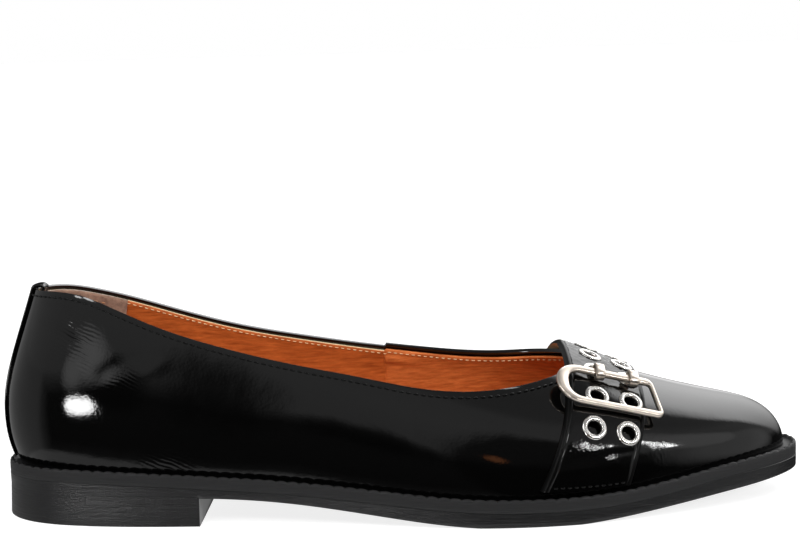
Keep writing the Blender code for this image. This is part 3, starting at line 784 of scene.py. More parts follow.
# %% Insole
INSOLE_THICK = 3.0
INSOLE_INSET = 2.2
INSOLE_TOE_DRAW = 3.4
INSOLE_DRAW_START = 230.0
INSOLE_EDGE_DROP = 0.5
INSOLE_DISH, DISH_X, DISH_REACH = 0.5, 40.0, 45.0
insole_angles = np.linspace(0.0, math.pi, 160)
insole_x = station_x(insole_angles)
draw = np.maximum(0.0, (insole_x - INSOLE_DRAW_START) / (TIP_X - INSOLE_DRAW_START))
inset = -(INSOLE_INSET + INSOLE_TOE_DRAW * draw * draw)
insole_base = lip_height(insole_x) - LEDGE_DROP + FIT
left_edge = outline(inset, insole_angles, -1)
right_edge = outline(inset, insole_angles, 1)
insole_rows = []
for share in np.linspace(0.0, 1.0, 25):
    plan = left_edge + (right_edge - left_edge) * share
    edge_drop = INSOLE_EDGE_DROP * (1.0 - ease(np.minimum(share, 1.0 - share) * 14.0))
    dish = INSOLE_DISH * math.sin(math.pi * share) * (ease(1.0 - np.abs(insole_x - DISH_X) / DISH_REACH))
    height = insole_base + INSOLE_THICK - edge_drop - dish
    insole_rows.append(np.column_stack((plan, height)))
for share in (1.0, 0.0):
    plan = left_edge + (right_edge - left_edge) * share
    insole_rows.append(np.column_stack((plan, insole_base)))
insole_grid = np.stack(insole_rows, axis=1)
# The footbed's leather is rolled flat, so its grain is shallower and its colour more even than the lining's
insole_material = lined_leather(
    "tan_insole_leather", "#c4743f", "#a85a2a", roughness=0.5, grain_mm=0.8, grain_depth=0.08
)
insole = make_piece(
    "insole_pad", insole_grid, grid_faces(len(insole_angles), insole_grid.shape[1], wrap_columns=True),
    insole_material, weld=0.01,
)
dress(insole, "tan_leather", "insole")
print("insole: %d faces" % len(insole.data.polygons))

# %% [markdown]
# ## Rubber welt, outsole and heel
# The sole is moulded black rubber, trimmed by a cutter that leaves fine streaks along its edge, so the eye gets a
# matt charcoal with a soft sheen along the streaks. The welt's lip is pressed by a wheel into small scallops.
# They could be a bump, but they stand out against the dark groove beside the upper, so they are real geometry.


# %% Moulded rubber
def moulded_rubber(name, base, roughness):
    """Matt charcoal rubber with trimming streaks along its edge."""
    material, tree, shader = start_material(name, Base_Color=linear(base), IOR=1.52)
    place = add_node(tree, "ShaderNodeTexCoord")
    # A cutter's streaks are about 0.2 mm apart, too fine for the picture, so they are drawn at 0.6 mm
    stretched = add_node(tree, "ShaderNodeMapping", {"Vector": place.outputs["Object"], "Scale": (0.05, 0.05, 1.0)})
    streaks = add_node(
        tree, "ShaderNodeTexNoise",
        {"Vector": stretched.outputs["Vector"], "Scale": spots_per_metre(0.6), "Detail": 4.0, "Roughness": 0.65},
    )
    pits = add_node(
        tree, "ShaderNodeTexNoise",
        {"Vector": place.outputs["Object"], "Scale": spots_per_metre(0.7), "Detail": 3.0, "Roughness": 0.6},
    )
    gloss = add_node(
        tree, "ShaderNodeMapRange",
        {"Value": streaks.outputs["Fac"], "From Min": 0.3, "From Max": 0.7,
         "To Min": roughness - 0.08, "To Max": roughness + 0.10},
    )
    tree.links.new(gloss.outputs["Result"], shader.inputs["Roughness"])
    streak_bump = add_node(
        tree, "ShaderNodeBump", {"Height": streaks.outputs["Fac"], "Strength": 0.8, "Distance": 0.22 * MM}
    )
    pit_bump = add_node(
        tree, "ShaderNodeBump",
        {"Height": pits.outputs["Fac"], "Strength": 0.5, "Distance": 0.08 * MM,
         "Normal": streak_bump.outputs["Normal"]},
    )
    tree.links.new(pit_bump.outputs["Normal"], shader.inputs["Normal"])
    return material


rubber_material = moulded_rubber("moulded_black_rubber", "#0d0d0e", 0.36)
# The welt is pressed and not trimmed, so it is duller. The breast of the heel is left as cut and rough, and its light
# grey is painted light: a painted reflection of the pale table
welt_material = moulded_rubber("wheeled_black_welt", "#121213", 0.6)
breast_painted_light_material = moulded_rubber("untrimmed_heel_breast_painted_light", "#8c8c8c", 0.7)
print("rubber: three finishes")

# %% Welt
WELT_HEIGHT = 4.4
WELT_OUT = 3.1
TOE_EDGE, TOE_EDGE_START = 1.2, 232.0
SEAT_EDGE, SEAT_EDGE_START, SEAT_EDGE_RUN = 0.8, 32.0, 26.0
SCALLOP_PITCH = 3.8
SCALLOP_DEPTH = 0.62
SCALLOP_STEPS = 8


def wider_edge(x):
    """How much wider the sole's edge is round the toe and the back than along the sides."""
    toe = ease((x - TOE_EDGE_START) / (TIP_X - TOE_EDGE_START))
    return TOE_EDGE * toe + SEAT_EDGE * ease((SEAT_EDGE_START - x) / SEAT_EDGE_RUN)


def round_the_shoe(count):
    """Station angles and sides at even steps of length round the sole's edge, and the length."""
    loop = np.linspace(0.0, 2.0 * math.pi, 6001)
    angle = np.where(loop <= math.pi, loop, 2.0 * math.pi - loop)
    side = np.where(loop <= math.pi, -1, 1)
    plan = outline(WELT_OUT, angle, side)
    length = np.concatenate(([0.0], np.cumsum(np.linalg.norm(np.diff(plan, axis=0), axis=1))))
    even = np.interp(np.linspace(0.0, length[-1], count, endpoint=False), length, loop)
    return np.where(even <= math.pi, even, 2.0 * math.pi - even), np.where(even <= math.pi, -1, 1), length[-1]


_, _, welt_length = round_the_shoe(1)
scallops = int(round(welt_length / SCALLOP_PITCH))
welt_angles, welt_sides, _ = round_the_shoe(scallops * SCALLOP_STEPS)
phase = np.arange(len(welt_angles)) / SCALLOP_STEPS
uneven = 0.75 + 0.25 * np.sin(phase * 1.7) * np.sin(phase * 0.61 + 1.0)
scallop = SCALLOP_DEPTH * uneven * (np.abs(np.sin(math.pi * phase)) ** 0.7 - 1.0)

# offset from the feather line, height from the lip's top, share of the scallop, whether it follows the wider edge
WELT_PROFILE = (
    (2.98, -4.40, 0.0, 1.0),
    (3.08, -4.25, 0.0, 1.0),
    (3.12, -3.0, 0.0, 1.0),
    (3.14, -1.8, 0.05, 1.0),
    (3.08, -0.8, 0.30, 1.0),
    (2.92, -0.22, 0.85, 1.0),
    (2.66, 0.0, 1.0, 1.0),
    (2.32, 0.02, 1.0, 1.0),
    (2.02, -0.14, 0.9, 1.0),
    (1.78, -0.6, 0.4, 0.95),
    (1.50, -1.15, 0.0, 0.9),
    (0.60, -1.20, 0.0, 0.0),
    (-1.60, -1.20, 0.0, 0.0),
    (-1.60, -4.40, 0.0, 0.0),
)
welt_x = station_x(welt_angles)
welt_columns = []
for offset, drop, pressed, wide in WELT_PROFILE:
    plan = outline(offset + wide * wider_edge(welt_x), welt_angles, welt_sides)
    welt_columns.append(np.column_stack((plan, lip_height(welt_x) + drop + pressed * scallop)))
welt_grid = np.stack(welt_columns, axis=1)
welt = make_piece(
    "welt_rim", welt_grid, grid_faces(len(welt_angles), len(WELT_PROFILE), True, True), welt_material
)
dress(welt, "black_rubber", "welt")
print("welt: %d scallops over %.0f mm" % (scallops, welt_length))

# %% Outsole and heel sections
BREAST_X = 68.8
SOLE_EDGE = 0.05
CHAMFER = 0.2
EDGE_SOFT = 0.12
CORE_OFFSET, CORE_RISE = -6.0, 2.6
SHARP = 38.0


def sole_loft(name, angles, rows_at):
    """Closed loft of sections across the shoe: rows_at gives (offset, height) from the top middle down the wall."""
    sections = []
    for angle in angles:
        rows = np.array(rows_at(float(station_x(angle))))
        outer = np.column_stack((outline(rows[:, 0], angle, -1), rows[:, 1]))
        inner = np.column_stack((outline(rows[:, 0], angle, 1), rows[:, 1]))
        sections.append(np.concatenate((outer, inner[::-1])))
    grid = np.stack(sections)
    count = grid.shape[1]
    faces = [list(face) for face in grid_faces(len(angles), count, wrap_columns=True)]
    faces.append([(len(angles) - 1) * count + i for i in range(count)])
    piece = make_piece(name, grid, faces, rubber_material, weld=0.01)
    piece.data.set_sharp_from_angle(angle=math.radians(SHARP))
    return piece


def outsole_rows(x):
    base = float(underside(x))
    seat = float(lip_height(x)) - WELT_HEIGHT
    edge = WELT_OUT + float(wider_edge(x)) + SOLE_EDGE
    chamfer = CHAMFER * float(ease((x - BREAST_X - 1.0) / 4.0))
    return (
        (CORE_OFFSET, seat + CORE_RISE),
        (CORE_OFFSET, seat),
        (edge - EDGE_SOFT, seat),
        (edge, seat - EDGE_SOFT),
        (edge - 0.05, (seat + base) / 2.0),
        (edge - EDGE_SOFT, base + chamfer),
        (edge - EDGE_SOFT - chamfer * 0.35, base + chamfer * 0.35),
        (edge - EDGE_SOFT - chamfer, base),
    )


def heel_rows(x):
    edge = WELT_OUT + float(wider_edge(x)) + SOLE_EDGE
    top = float(underside(x)) + 0.4
    return (
        (edge - 0.4, top),
        (edge - 0.08, top - 0.1),
        (edge + 0.12, top * 0.5),
        (edge + 0.3, 0.4),
        (edge + 0.24, 0.1),
        (edge + 0.1, 0.0),
    )


print("heel: %.1f mm high at the breast" % float(underside(BREAST_X)))

# %% Outsole and heel
outsole = sole_loft("outsole_rubber", np.linspace(0.0, math.pi, 260), outsole_rows)
dress(outsole, "black_rubber", "outsole")
heel = sole_loft("heel_block", np.linspace(0.0, float(turn(BREAST_X)), 110), heel_rows)
# The faces of the breast take the grey finish, a painted reflection of the pale table
heel.data.materials.append(breast_painted_light_material)
for polygon in heel.data.polygons:
    if polygon.normal.x > 0.9:
        polygon.material_index = 1

# The breast leans about its half height: its foot is set back, its top forward
BREAST_LEAN = 0.2
BREAST_HALF_HEIGHT = 5.0
breast_plane = max(vertex.co.x for vertex in heel.data.vertices)
for vertex in heel.data.vertices:
    if vertex.co.x > breast_plane - 0.01 * MM:
        vertex.co.x += BREAST_LEAN * (vertex.co.z - BREAST_HALF_HEIGHT * MM)
dress(heel, "black_rubber", "heel")
print("outsole %d faces, heel %d faces" % (len(outsole.data.polygons), len(heel.data.polygons)))

# %% [markdown]
# ## The strap
# The strap is cut from two layers of patent leather with painted edges and a creased line near each edge.
# A flat strip with Solidify would lose that edge, so it is lofted through a small section with the crease in it.
# Its folds are pressed in, as on the upper, and fine waves crinkle it over the bend.
# The eyelet holes are one Boolean cut with all the punches joined into one mesh.

# %% Strap path
STRAP_HALF = 13.0
STRAP_THICK = 2.2
STRAP_SIDE_X = 201.7
STRAP_SHOULDER = 0.62
STRAP_CROWN_BACK = 1.6
STRAP_FOOT_SWEEP = 7.4
STRAP_FOOT = 0.045
STRAP_ARCH = 0.7
STRAP_INNER_SWEEP = 4.6
STRAP_FOOT_FLARE = 4.2
STRAP_FRONT_PRESS = 0.34
CROWN_ENDS, CROWN_FADE = 0.55, 0.3


def strap_point(across, turned, offset):
    """Strap face: across is mm from its middle, turned runs -1 (outer foot) to 1 (inner foot)."""
    across, turned, offset = np.broadcast_arrays(np.asarray(across, float), turned, offset)
    side = np.where(turned <= 0.0, -1, 1)
    t = 1.0 - np.abs(turned) * (1.0 - STRAP_FOOT)
    low = np.maximum(0.0, 1.0 - t / STRAP_SHOULDER)
    crown = np.maximum(0.0, (t - STRAP_SHOULDER) / (1.0 - STRAP_SHOULDER))
    x = STRAP_SIDE_X - STRAP_FOOT_SWEEP * low ** 1.8 - STRAP_CROWN_BACK * crown ** 2 + across
    rear = -across / STRAP_HALF
    x = x - STRAP_INNER_SWEEP * ease(turned / 0.4) - STRAP_FOOT_FLARE * low ** 3 * np.maximum(0.0, rear)
    crowned = ease((CROWN_ENDS - np.abs(turned)) / CROWN_FADE)
    arch = STRAP_ARCH * ease(rear) * crowned
    pressed = 1.0 - STRAP_FRONT_PRESS * ease((across + 2.0) / STRAP_HALF) * crowned
    return shell(turn(x), side, t, offset * pressed + arch)


print("strap: %.0f mm wide" % (2.0 * STRAP_HALF))

# %% Strap section
# Half of the strap's edge, from the side inward: across, height over the upper. The dip is the creased line
STRAP_EDGE = ((STRAP_HALF, 0.45), (12.75, 1.2), (12.5, 1.75), (12.25, 2.05), (11.95, 2.2), (11.6, 2.23), (11.3, 2.16),
              (11.1, 2.0), (10.9, 2.16))
STRAP_FACE = 2.36
STRAP_TOP_HALF = 10.5
strap_top = np.linspace(-STRAP_TOP_HALF, STRAP_TOP_HALF, 29)
profile = np.array(
    [(-across, height) for across, height in STRAP_EDGE]
    + [(across, STRAP_FACE - 0.12 * (across / STRAP_TOP_HALF) ** 2) for across in strap_top]
    + [(across, height) for across, height in reversed(STRAP_EDGE)]
    + [(6.5, 0.35), (0.0, 0.35), (-6.5, 0.35)]
)
UNDERSIDE_COLUMNS = 4


def strap_lengths(across, side):
    """Arc length over the strap from its crown, with the turned values that it belongs to."""
    spots = np.linspace(0.0, 1.0, 241)
    points = strap_point(across, side * spots, FIT + STRAP_THICK)
    steps = np.linalg.norm(np.diff(points, axis=0), axis=1)
    return np.concatenate(([0.0], np.cumsum(steps))), spots


def strap_turn(across, run):
    """Turned value at a signed arc length from the crown: minus is to the outer side."""
    side = -1 if run <= 0.0 else 1
    lengths, spots = strap_lengths(across, side)
    return side * float(np.interp(abs(run), lengths, spots))


print("strap: %.0f mm from the crown to its outer foot" % strap_lengths(0.0, -1)[0][-1])

# %% Strap folds
# Folds in the strap: across and arc length at both ends, half width, depth (minus is a ridge)
STRAP_FOLDS = (
    (-12.0, -54.6, 12.0, -51.0, 1.5, 0.12),
    (-11.0, -57.6, -1.0, -56.6, 1.2, -0.10),
    (-10.0, -24.6, 11.0, -25.4, 1.6, -0.16),
    (-9.0, -13.0, 5.0, -15.5, 1.0, 0.10),
    (-2.0, -9.5, 10.0, -12.0, 1.0, -0.10),
    (-10.0, -4.0, 3.0, -6.0, 1.1, 0.12),
    (2.0, -1.5, 11.0, -4.5, 0.9, -0.10),
    (-8.0, 4.0, 10.0, 2.0, 1.2, 0.12),
)

# Fine crinkles over the bend, between two arc lengths: direction in degrees, wave length, height
CRINKLED_FROM, CRINKLED_TO = -27.0, 34.0
CRINKLE_WAVES = ((12.0, 2.1, 0.035), (64.0, 2.6, 0.05), (128.0, 2.3, 0.045), (97.0, 3.6, 0.06), (158.0, 3.0, 0.05))


def strap_wrinkles(across, run):
    """How far the folds and crinkles lift the strap's face, in mm."""
    across, run = np.broadcast_arrays(across, run)
    lift = np.zeros(across.shape)
    for a0, r0, a1, r1, width, depth in STRAP_FOLDS:
        lift = lift - depth * pressed_line(np.stack((across, run), axis=-1), (a0, r0), (a1, r1), width)
    bend = ease((run - CRINKLED_FROM) / 5.0) * ease((CRINKLED_TO - run) / 12.0)
    for degrees, wave, height in CRINKLE_WAVES:
        a = math.radians(degrees)
        phase = (across * math.cos(a) + run * math.sin(a)) * 2.0 * math.pi / wave
        drift = 1.4 * np.sin(across * 0.9 + run * 0.35 + degrees) + 1.1 * np.sin(run * 0.7 - across * 0.3)
        lift = lift + bend * height * np.sin(phase + drift)
    return lift


print("strap: %d folds and %d crinkle waves" % (len(STRAP_FOLDS), len(CRINKLE_WAVES)))

# %% Strap loft
CRINKLES_END, CRINKLES_FADE = 11.4, 1.2
strap_turned = np.linspace(-1.0, 1.0, 241)
outer_run, outer_spots = strap_lengths(0.0, -1)
inner_run, inner_spots = strap_lengths(0.0, 1)
strap_run = np.where(strap_turned <= 0.0, -np.interp(-strap_turned, outer_spots, outer_run),
                     np.interp(strap_turned, inner_spots, inner_run))
on_top = ease((CRINKLES_END - np.abs(profile[:, 0])) / CRINKLES_FADE) * (profile[:, 1] > 1.0)
wrinkles = strap_wrinkles(profile[None, :, 0], strap_run[:, None]) * on_top[None, :]
strap_grid = strap_point(profile[None, :, 0], strap_turned[:, None], profile[None, :, 1] + wrinkles)
strap_faces = [list(face) for face in grid_faces(len(strap_turned), len(profile), wrap_columns=True)]
for end in (0, len(strap_turned) - 1):
    strap_faces.append([end * len(profile) + i for i in range(len(profile))])
strap = make_piece("strap_leather", strap_grid, strap_faces, strap_patent_material)
strap.data.materials.append(raw_edge_material)

# %% Strap edges
# Brushed acrylic edge paint: black and duller than the lacquer, so the edges stay quiet
EDGE_PAINT_FROM = 11.2
edge_paint, _, _ = start_material(
    "black_edge_paint", Base_Color=linear("#040404"), Roughness=0.34, Specular_IOR_Level=0.14
)
strap.data.materials.append(edge_paint)
for polygon in strap.data.polygons:
    columns = [index % len(profile) for index in polygon.vertices]
    if len(columns) == 4 and max(columns) >= len(profile) - UNDERSIDE_COLUMNS + 1:
        polygon.material_index = 1
    elif np.abs(profile[columns, 0]).min() > EDGE_PAINT_FROM:
        polygon.material_index = 2
print("strap: %d faces" % len(strap.data.polygons))

# %% Eyelet places
EYELET_PITCH = 12.5
EYELET_COLUMNS = (-3.6, 7.5)
EYELET_FIRST = (32.0, 29.6)
EYELET_ROWS = 8
EYELET_FLANGE_R = 4.15
EYELET_HOLE_R = 2.3
EYELET_BARREL_R = 2.7
eyelets = []
for column, across in enumerate(EYELET_COLUMNS):
    for row in range(EYELET_ROWS):
        turned = strap_turn(across, EYELET_PITCH * (row - 1) - EYELET_FIRST[column])
        middle = strap_point(across, turned, STRAP_FACE)
        axis = unit(middle - strap_point(across, turned, FIT))
        ahead = unit(strap_point(across + 1.0, turned, STRAP_FACE) - middle)
        eyelets.append(("eyelet_%d_%s" % (row + 1, "rf"[column]), middle, axis, ahead))
print("eyelets:", len(eyelets))


def turned_rings(profile, sides):
    """Rings of a turned (radius, height) profile on every eyelet, as points and faces."""
    around = np.linspace(0.0, 2.0 * math.pi, sides, endpoint=False)
    profile = np.array(profile, float)
    one = grid_faces(sides, len(profile), True, True)
    points, faces = [], []
    for _, middle, axis, ahead in eyelets:
        across = np.cross(axis, ahead)
        ring = np.cos(around)[:, None, None] * ahead + np.sin(around)[:, None, None] * across
        spots = middle + ring * profile[None, :, 0, None] + profile[None, :, 1, None] * axis
        faces.append(one + len(points) * sides * len(profile))
        points.append(spots.reshape(-1, 3))
    return np.concatenate(points), np.concatenate(faces)


# %% Punch the strap
PUNCH_R = 2.95
PUNCH_REACH = 4.0
PUNCH_SIDES = 32
punch_points, _ = turned_rings(((PUNCH_R, -PUNCH_REACH), (PUNCH_R, PUNCH_REACH)), PUNCH_SIDES)
punch_faces = []
for i in range(len(eyelets)):
    low = 2 * PUNCH_SIDES * i + 2 * np.arange(PUNCH_SIDES)
    following = np.roll(low, -1)
    punch_faces += list(np.stack((low, following, following + 1, low + 1), axis=-1)) + [low, low + 1]
punch = make_piece("punch", punch_points, punch_faces, strap_patent_material)
cut = strap.modifiers.new("eyelet holes", "BOOLEAN")
cut.operation = "DIFFERENCE"
cut.solver = "EXACT"
cut.object = punch
apply_modifiers(strap)
bpy.data.objects.remove(punch, do_unlink=True)

# %% Strap crinkles
# across, arc length from the crown (minus is the outer side), radius, weight
STRAP_CRINKLES = (
    (-7.0, -52.0, 5.0, 0.8), (-1.5, -52.0, 5.0, 0.8), (4.0, -52.5, 4.0, 0.7), (11.5, -44.0, 4.0, 1.0),
    (-9.0, -56.0, 3.5, 0.6), (0.0, -24.0, 9.0, 0.6), (0.0, -12.0, 15.0, 0.8), (0.0, 6.0, 15.0, 0.8),
)
spots = []
for across, run, radius, weight in STRAP_CRINKLES:
    spots.append((*strap_point(across, strap_turn(across, run), STRAP_FACE), radius, weight))
paint_weight(strap, "crinkle", spots)
STRAP_SHARP = 55.0
strap.data.set_sharp_from_angle(angle=math.radians(STRAP_SHARP))
dress(strap, "black_patent", "strap")
print("strap: %d crinkled spots" % len(spots))

# %% [markdown]
# ## Eyelets and buckle
# The eyelets are pressed brass with bright nickel plate: a rolled flange that mirrors everything round it.
# The buckle is cast and tumbled before plating, so it is softer, paler and a little warm.
# Rings are turned profiles. A bevelled curve could make the frame, but its four bars differ in width, so a section
# is swept along the middle line with a width of its own at every point.

# %% Nickel
# Pressed and plated bright: an almost neutral mirror with a crisp rim
bright_nickel, _, _ = start_material(
    "bright_nickel_plate", Base_Color=linear("#e6e4e0"), Metallic=1.0, Roughness=0.27
)
# Tumbled before plating: a soft, slightly warm sheen
satin_nickel, _, _ = start_material(
    "satin_nickel_plate", Base_Color=linear("#d8cdc1"), Metallic=1.0, Roughness=0.31
)
print("nickel: bright for the eyelets, satin for the buckle")

# %% Eyelet rings
ring_profile = (
    (EYELET_FLANGE_R, -0.05), (EYELET_FLANGE_R - 0.02, 0.2), (3.98, 0.42), (3.68, 0.59), (3.3, 0.67), (2.95, 0.68),
    (2.68, 0.6), (2.48, 0.42), (2.36, 0.18), (EYELET_HOLE_R, -0.1), (EYELET_HOLE_R, -0.6), (EYELET_BARREL_R, -0.6),
    (EYELET_BARREL_R, -0.1),
)
points, faces = turned_rings(ring_profile, 48)
rings = make_piece("eyelet_rings", points, faces, bright_nickel)
dress(rings, "bright_nickel", *[name for name, _, _, _ in eyelets])
print("eyelet rings: %d faces" % len(rings.data.polygons))

# %% Buckle places
BUCKLE_ARC = 29.4
BUCKLE_BARS = 13.8
BUCKLE_TILT = math.radians(5.0)
BUCKLE_LIFT = 1.25
BUCKLE_THICK = 1.9

# Corners of the frame's middle line: along, up, rounding, half width of the bar that follows
BUCKLE_CORNERS = (
    (14.9, 7.0, 1.8, 1.3),
    (-16.3, 7.0, 6.3, 2.05),
    (-16.3, -6.95, 6.3, 1.15),
    (17.4, -6.95, 1.6, 0.72),
)
buckle_turns = [strap_turn(0.0, -(BUCKLE_ARC + half)) for half in (-BUCKLE_BARS / 2.0, BUCKLE_BARS / 2.0)]
upper_spot, lower_spot = (strap_point(0.0, turned, FIT + STRAP_THICK) for turned in buckle_turns)
halfway = sum(buckle_turns) / 2.0
buckle_middle = (upper_spot + lower_spot) / 2.0
buckle_up = unit(upper_spot - lower_spot)
buckle_along = strap_point(10.0, halfway, FIT + STRAP_THICK) - strap_point(-10.0, halfway, FIT + STRAP_THICK)
buckle_along = unit(buckle_along - buckle_up * (buckle_along @ buckle_up))
buckle_out = np.cross(buckle_along, buckle_up)


def buckle_point(along, rise, out):
    """Points of the buckle's own frame, tilted in its plane, in last millimetres."""
    along, rise, out = np.broadcast_arrays(np.asarray(along, float), rise, out)
    a = along * math.cos(BUCKLE_TILT) - rise * math.sin(BUCKLE_TILT)
    b = along * math.sin(BUCKLE_TILT) + rise * math.cos(BUCKLE_TILT)
    return buckle_middle + a[..., None] * buckle_along + b[..., None] * buckle_up + out[..., None] * buckle_out


def rounded_loop(corners, steps=14, between=12):
    """Middle line through the corners, each turned by a short arc, with the bar's half width at every point."""
    corners = np.array(corners, float)
    arcs, halves = [], []
    t = np.linspace(0.0, math.pi / 2.0, steps)
    for i, (along, rise, rounding, half) in enumerate(corners):
        spot = np.array((along, rise))
        before = unit(corners[i - 1, :2] - spot) * rounding
        after = unit(corners[(i + 1) % len(corners), :2] - spot) * rounding
        arcs.append(spot + before * (1.0 - np.sin(t))[:, None] + after * (1.0 - np.cos(t))[:, None])
        halves.append(corners[i - 1, 3] + (half - corners[i - 1, 3]) * ease(t / (math.pi / 2.0)))
    points, widths = [], []
    for i, arc in enumerate(arcs):
        following = arcs[(i + 1) % len(arcs)][0]
        share = np.linspace(0.0, 1.0, between + 2)[1:-1]
        points += [arc, arc[-1] + (following - arc[-1]) * share[:, None]]
        widths += [halves[i], np.full(between, corners[i, 3])]
    return np.concatenate(points), np.concatenate(widths)


print("buckle: bars %.1f mm apart along the strap" % BUCKLE_BARS)

# %% Buckle frame
SQUARENESS = 0.7
centre_line, half_width = rounded_loop(BUCKLE_CORNERS)
bar_way = unit(np.roll(centre_line, -1, axis=0) - np.roll(centre_line, 1, axis=0))
bar_side = np.stack((-bar_way[:, 1], bar_way[:, 0]), axis=-1)
around = np.linspace(0.0, 2.0 * math.pi, 24, endpoint=False)
section_x = np.sign(np.cos(around)) * np.abs(np.cos(around)) ** SQUARENESS
section_z = np.sign(np.sin(around)) * np.abs(np.sin(around)) ** SQUARENESS
flat = centre_line[:, None, :] + (bar_side * half_width[:, None])[:, None, :] * section_x[None, :, None]
heights = BUCKLE_LIFT + BUCKLE_THICK / 2.0 * (1.0 + section_z)
buckle_grid = buckle_point(flat[..., 0], flat[..., 1], np.broadcast_to(heights, flat.shape[:2]))
buckle = make_piece("buckle_loop", buckle_grid, grid_faces(*buckle_grid.shape[:2], True, True), satin_nickel)
dress(buckle, "satin_nickel", "buckle_frame")
print("buckle: %d faces" % len(buckle.data.polygons))

# %% Prongs
PRONG_WIDTH = 3.1
PRONG_THICK = 0.8
PRONG_GAP = 0.15
PRONG_END = 4.9
PRONG_ROW = "3"


def smooth_path(points, count):
    """Points along a spline through a short route, by its own length."""
    points = np.array(points, float)
    length = np.concatenate(([0.0], np.cumsum(np.linalg.norm(np.diff(points, axis=0), axis=1))))
    even = np.linspace(0.0, length[-1], count)
    return np.stack([smooth_curve(list(zip(length, points[:, k])))(even) for k in range(points.shape[1])], axis=-1)


def make_prong(name, eyelet_middle):
    """Flat band out of its eyelet, over the upper bar and down on the window side."""
    reach = eyelet_middle - buckle_middle
    along = (reach @ buckle_along) * math.cos(BUCKLE_TILT) + (reach @ buckle_up) * math.sin(BUCKLE_TILT)
    start = (reach @ buckle_up) * math.cos(BUCKLE_TILT) - (reach @ buckle_along) * math.sin(BUCKLE_TILT)
    base = reach @ buckle_out
    bar = BUCKLE_LIFT + BUCKLE_THICK + PRONG_GAP + PRONG_THICK / 2.0
    route = ((start, base - 0.9), (start - 0.1, base + 0.6), (start - 0.4, bar - 0.7), (start - 1.1, bar - 0.1),
             (start - 2.2, bar), (PRONG_END + 0.9, bar), (PRONG_END + 0.2, bar - 0.5), (PRONG_END, bar - 1.5),
             (PRONG_END, bar - 2.3))
    path = smooth_path(route, 40)
    way = unit(np.gradient(path, axis=0))
    normal = np.stack((-way[:, 1], way[:, 0]), axis=-1)
    corner = np.linspace(0.0, 2.0 * math.pi, 16, endpoint=False)
    wide = np.sign(np.cos(corner)) * np.abs(np.cos(corner)) ** 0.35 * PRONG_WIDTH / 2.0
    thick = np.sign(np.sin(corner)) * np.abs(np.sin(corner)) ** 0.5 * PRONG_THICK / 2.0
    rise = path[:, None, 0] + normal[:, None, 0] * thick
    out = path[:, None, 1] + normal[:, None, 1] * thick
    grid = buckle_point(np.broadcast_to(along + wide, rise.shape), rise, out)
    faces = [list(face) for face in grid_faces(*grid.shape[:2], wrap_columns=True)]
    for end in (0, len(path) - 1):
        faces.append([end * len(corner) + i for i in range(len(corner))])
    return make_piece(name, grid, faces, satin_nickel)


places = {name: middle for name, middle, _, _ in eyelets}
for name, column in (("prong_rear", "r"), ("prong_front", "f")):
    prong = make_prong(name + "_band", places["eyelet_%s_%s" % (PRONG_ROW, column)])
    dress(prong, "satin_nickel", name)
    print("%s: %d faces" % (name, len(prong.data.polygons)))

# %% [markdown]
# ## Back strip and heel grip
# A narrow strip of patent covers the back seam and folds over the collar. Inside, a suede grip keeps the heel from
# slipping. Both could be flat strips wrapped on with a modifier, but cut from the last's own function, at their own
# height over the wall, they follow it exactly.


# %% Back strip
STRIP_WIDTH = 9.0
STRIP_THICK = 1.0
STRIP_LOW, STRIP_GAP = 0.02, 0.12
near_back = np.linspace(0.0, 0.4, 200)
strip_reach = float(np.interp(STRIP_WIDTH / 2.0, -feather_outer(near_back), near_back))
strip_rows = []
for share in np.linspace(-1.0, 1.0, 17):
    side = -1 if share <= 0.0 else 1
    angle = np.array([strip_reach * abs(share)])
    top = topline_t(angle, side)
    strip_rows.append(side_grid(angle, side, STRIP_LOW, top, np.linspace(0.0, 1.0, 50), STRIP_GAP)[0])
strip_grid = np.stack(strip_rows)
print("back strip: %d rows of %d points up to the collar" % strip_grid.shape[:2])

# %% Fold of the back strip
FOLD_R = 1.35
FOLD_FLAT = 0.35
fold_top = strip_grid[:, -1]
fold_way = unit(strip_grid[:, -1] - strip_grid[:, -3])
fold_out = np.array((-1.0, 0.0, 0.0))
fold = []
for a in np.linspace(0.0, math.pi, 12)[1:]:
    fold.append(fold_top + FOLD_R * (fold_way * math.sin(a) * FOLD_FLAT - fold_out * (1.0 - math.cos(a))))
fold_end = fold[-1]
for down in (1.0, 2.5, 4.0):
    fold.append(fold_end - fold_way * down)
strip_grid = np.concatenate((strip_grid, np.stack(fold, axis=1)), axis=1)
strip = make_piece("back_strip_leather", strip_grid, grid_faces(*strip_grid.shape[:2]), strap_patent_material)
face_away(strip, (134.0, 0.0, 40.0))
thicken(strip, STRIP_THICK, 1.0)
round_edges(strip, 0.35, 2)
apply_modifiers(strip)
dress(strip, "black_patent", "back_strip")

# %% Suede
# Suede is split leather with a raised nap: dusty, without shine, with clouds where the nap lies another way.
# The nap is far finer than a pixel, so only its clouds are drawn, about 2 mm wide
suede_material, suede_tree, suede_shader = start_material(
    "grey_brown_suede", Roughness=0.95, Sheen_Weight=0.5, Sheen_Roughness=0.5
)
suede_place = add_node(suede_tree, "ShaderNodeTexCoord")
suede_noise = add_node(
    suede_tree, "ShaderNodeTexNoise",
    {"Vector": suede_place.outputs["Object"], "Scale": spots_per_metre(2.0), "Detail": 8.0, "Roughness": 0.7},
)
suede_colour = add_node(suede_tree, "ShaderNodeValToRGB", {"Fac": suede_noise.outputs["Fac"]})
suede_colour.color_ramp.elements[0].position = 0.3
suede_colour.color_ramp.elements[0].color = linear("#6f5243")
suede_colour.color_ramp.elements[1].position = 0.7
suede_colour.color_ramp.elements[1].color = linear("#ab8a75")
suede_tree.links.new(suede_colour.outputs["Color"], suede_shader.inputs["Base Color"])
suede_bump = add_node(
    suede_tree, "ShaderNodeBump", {"Height": suede_noise.outputs["Fac"], "Strength": 0.6, "Distance": 0.2 * MM}
)
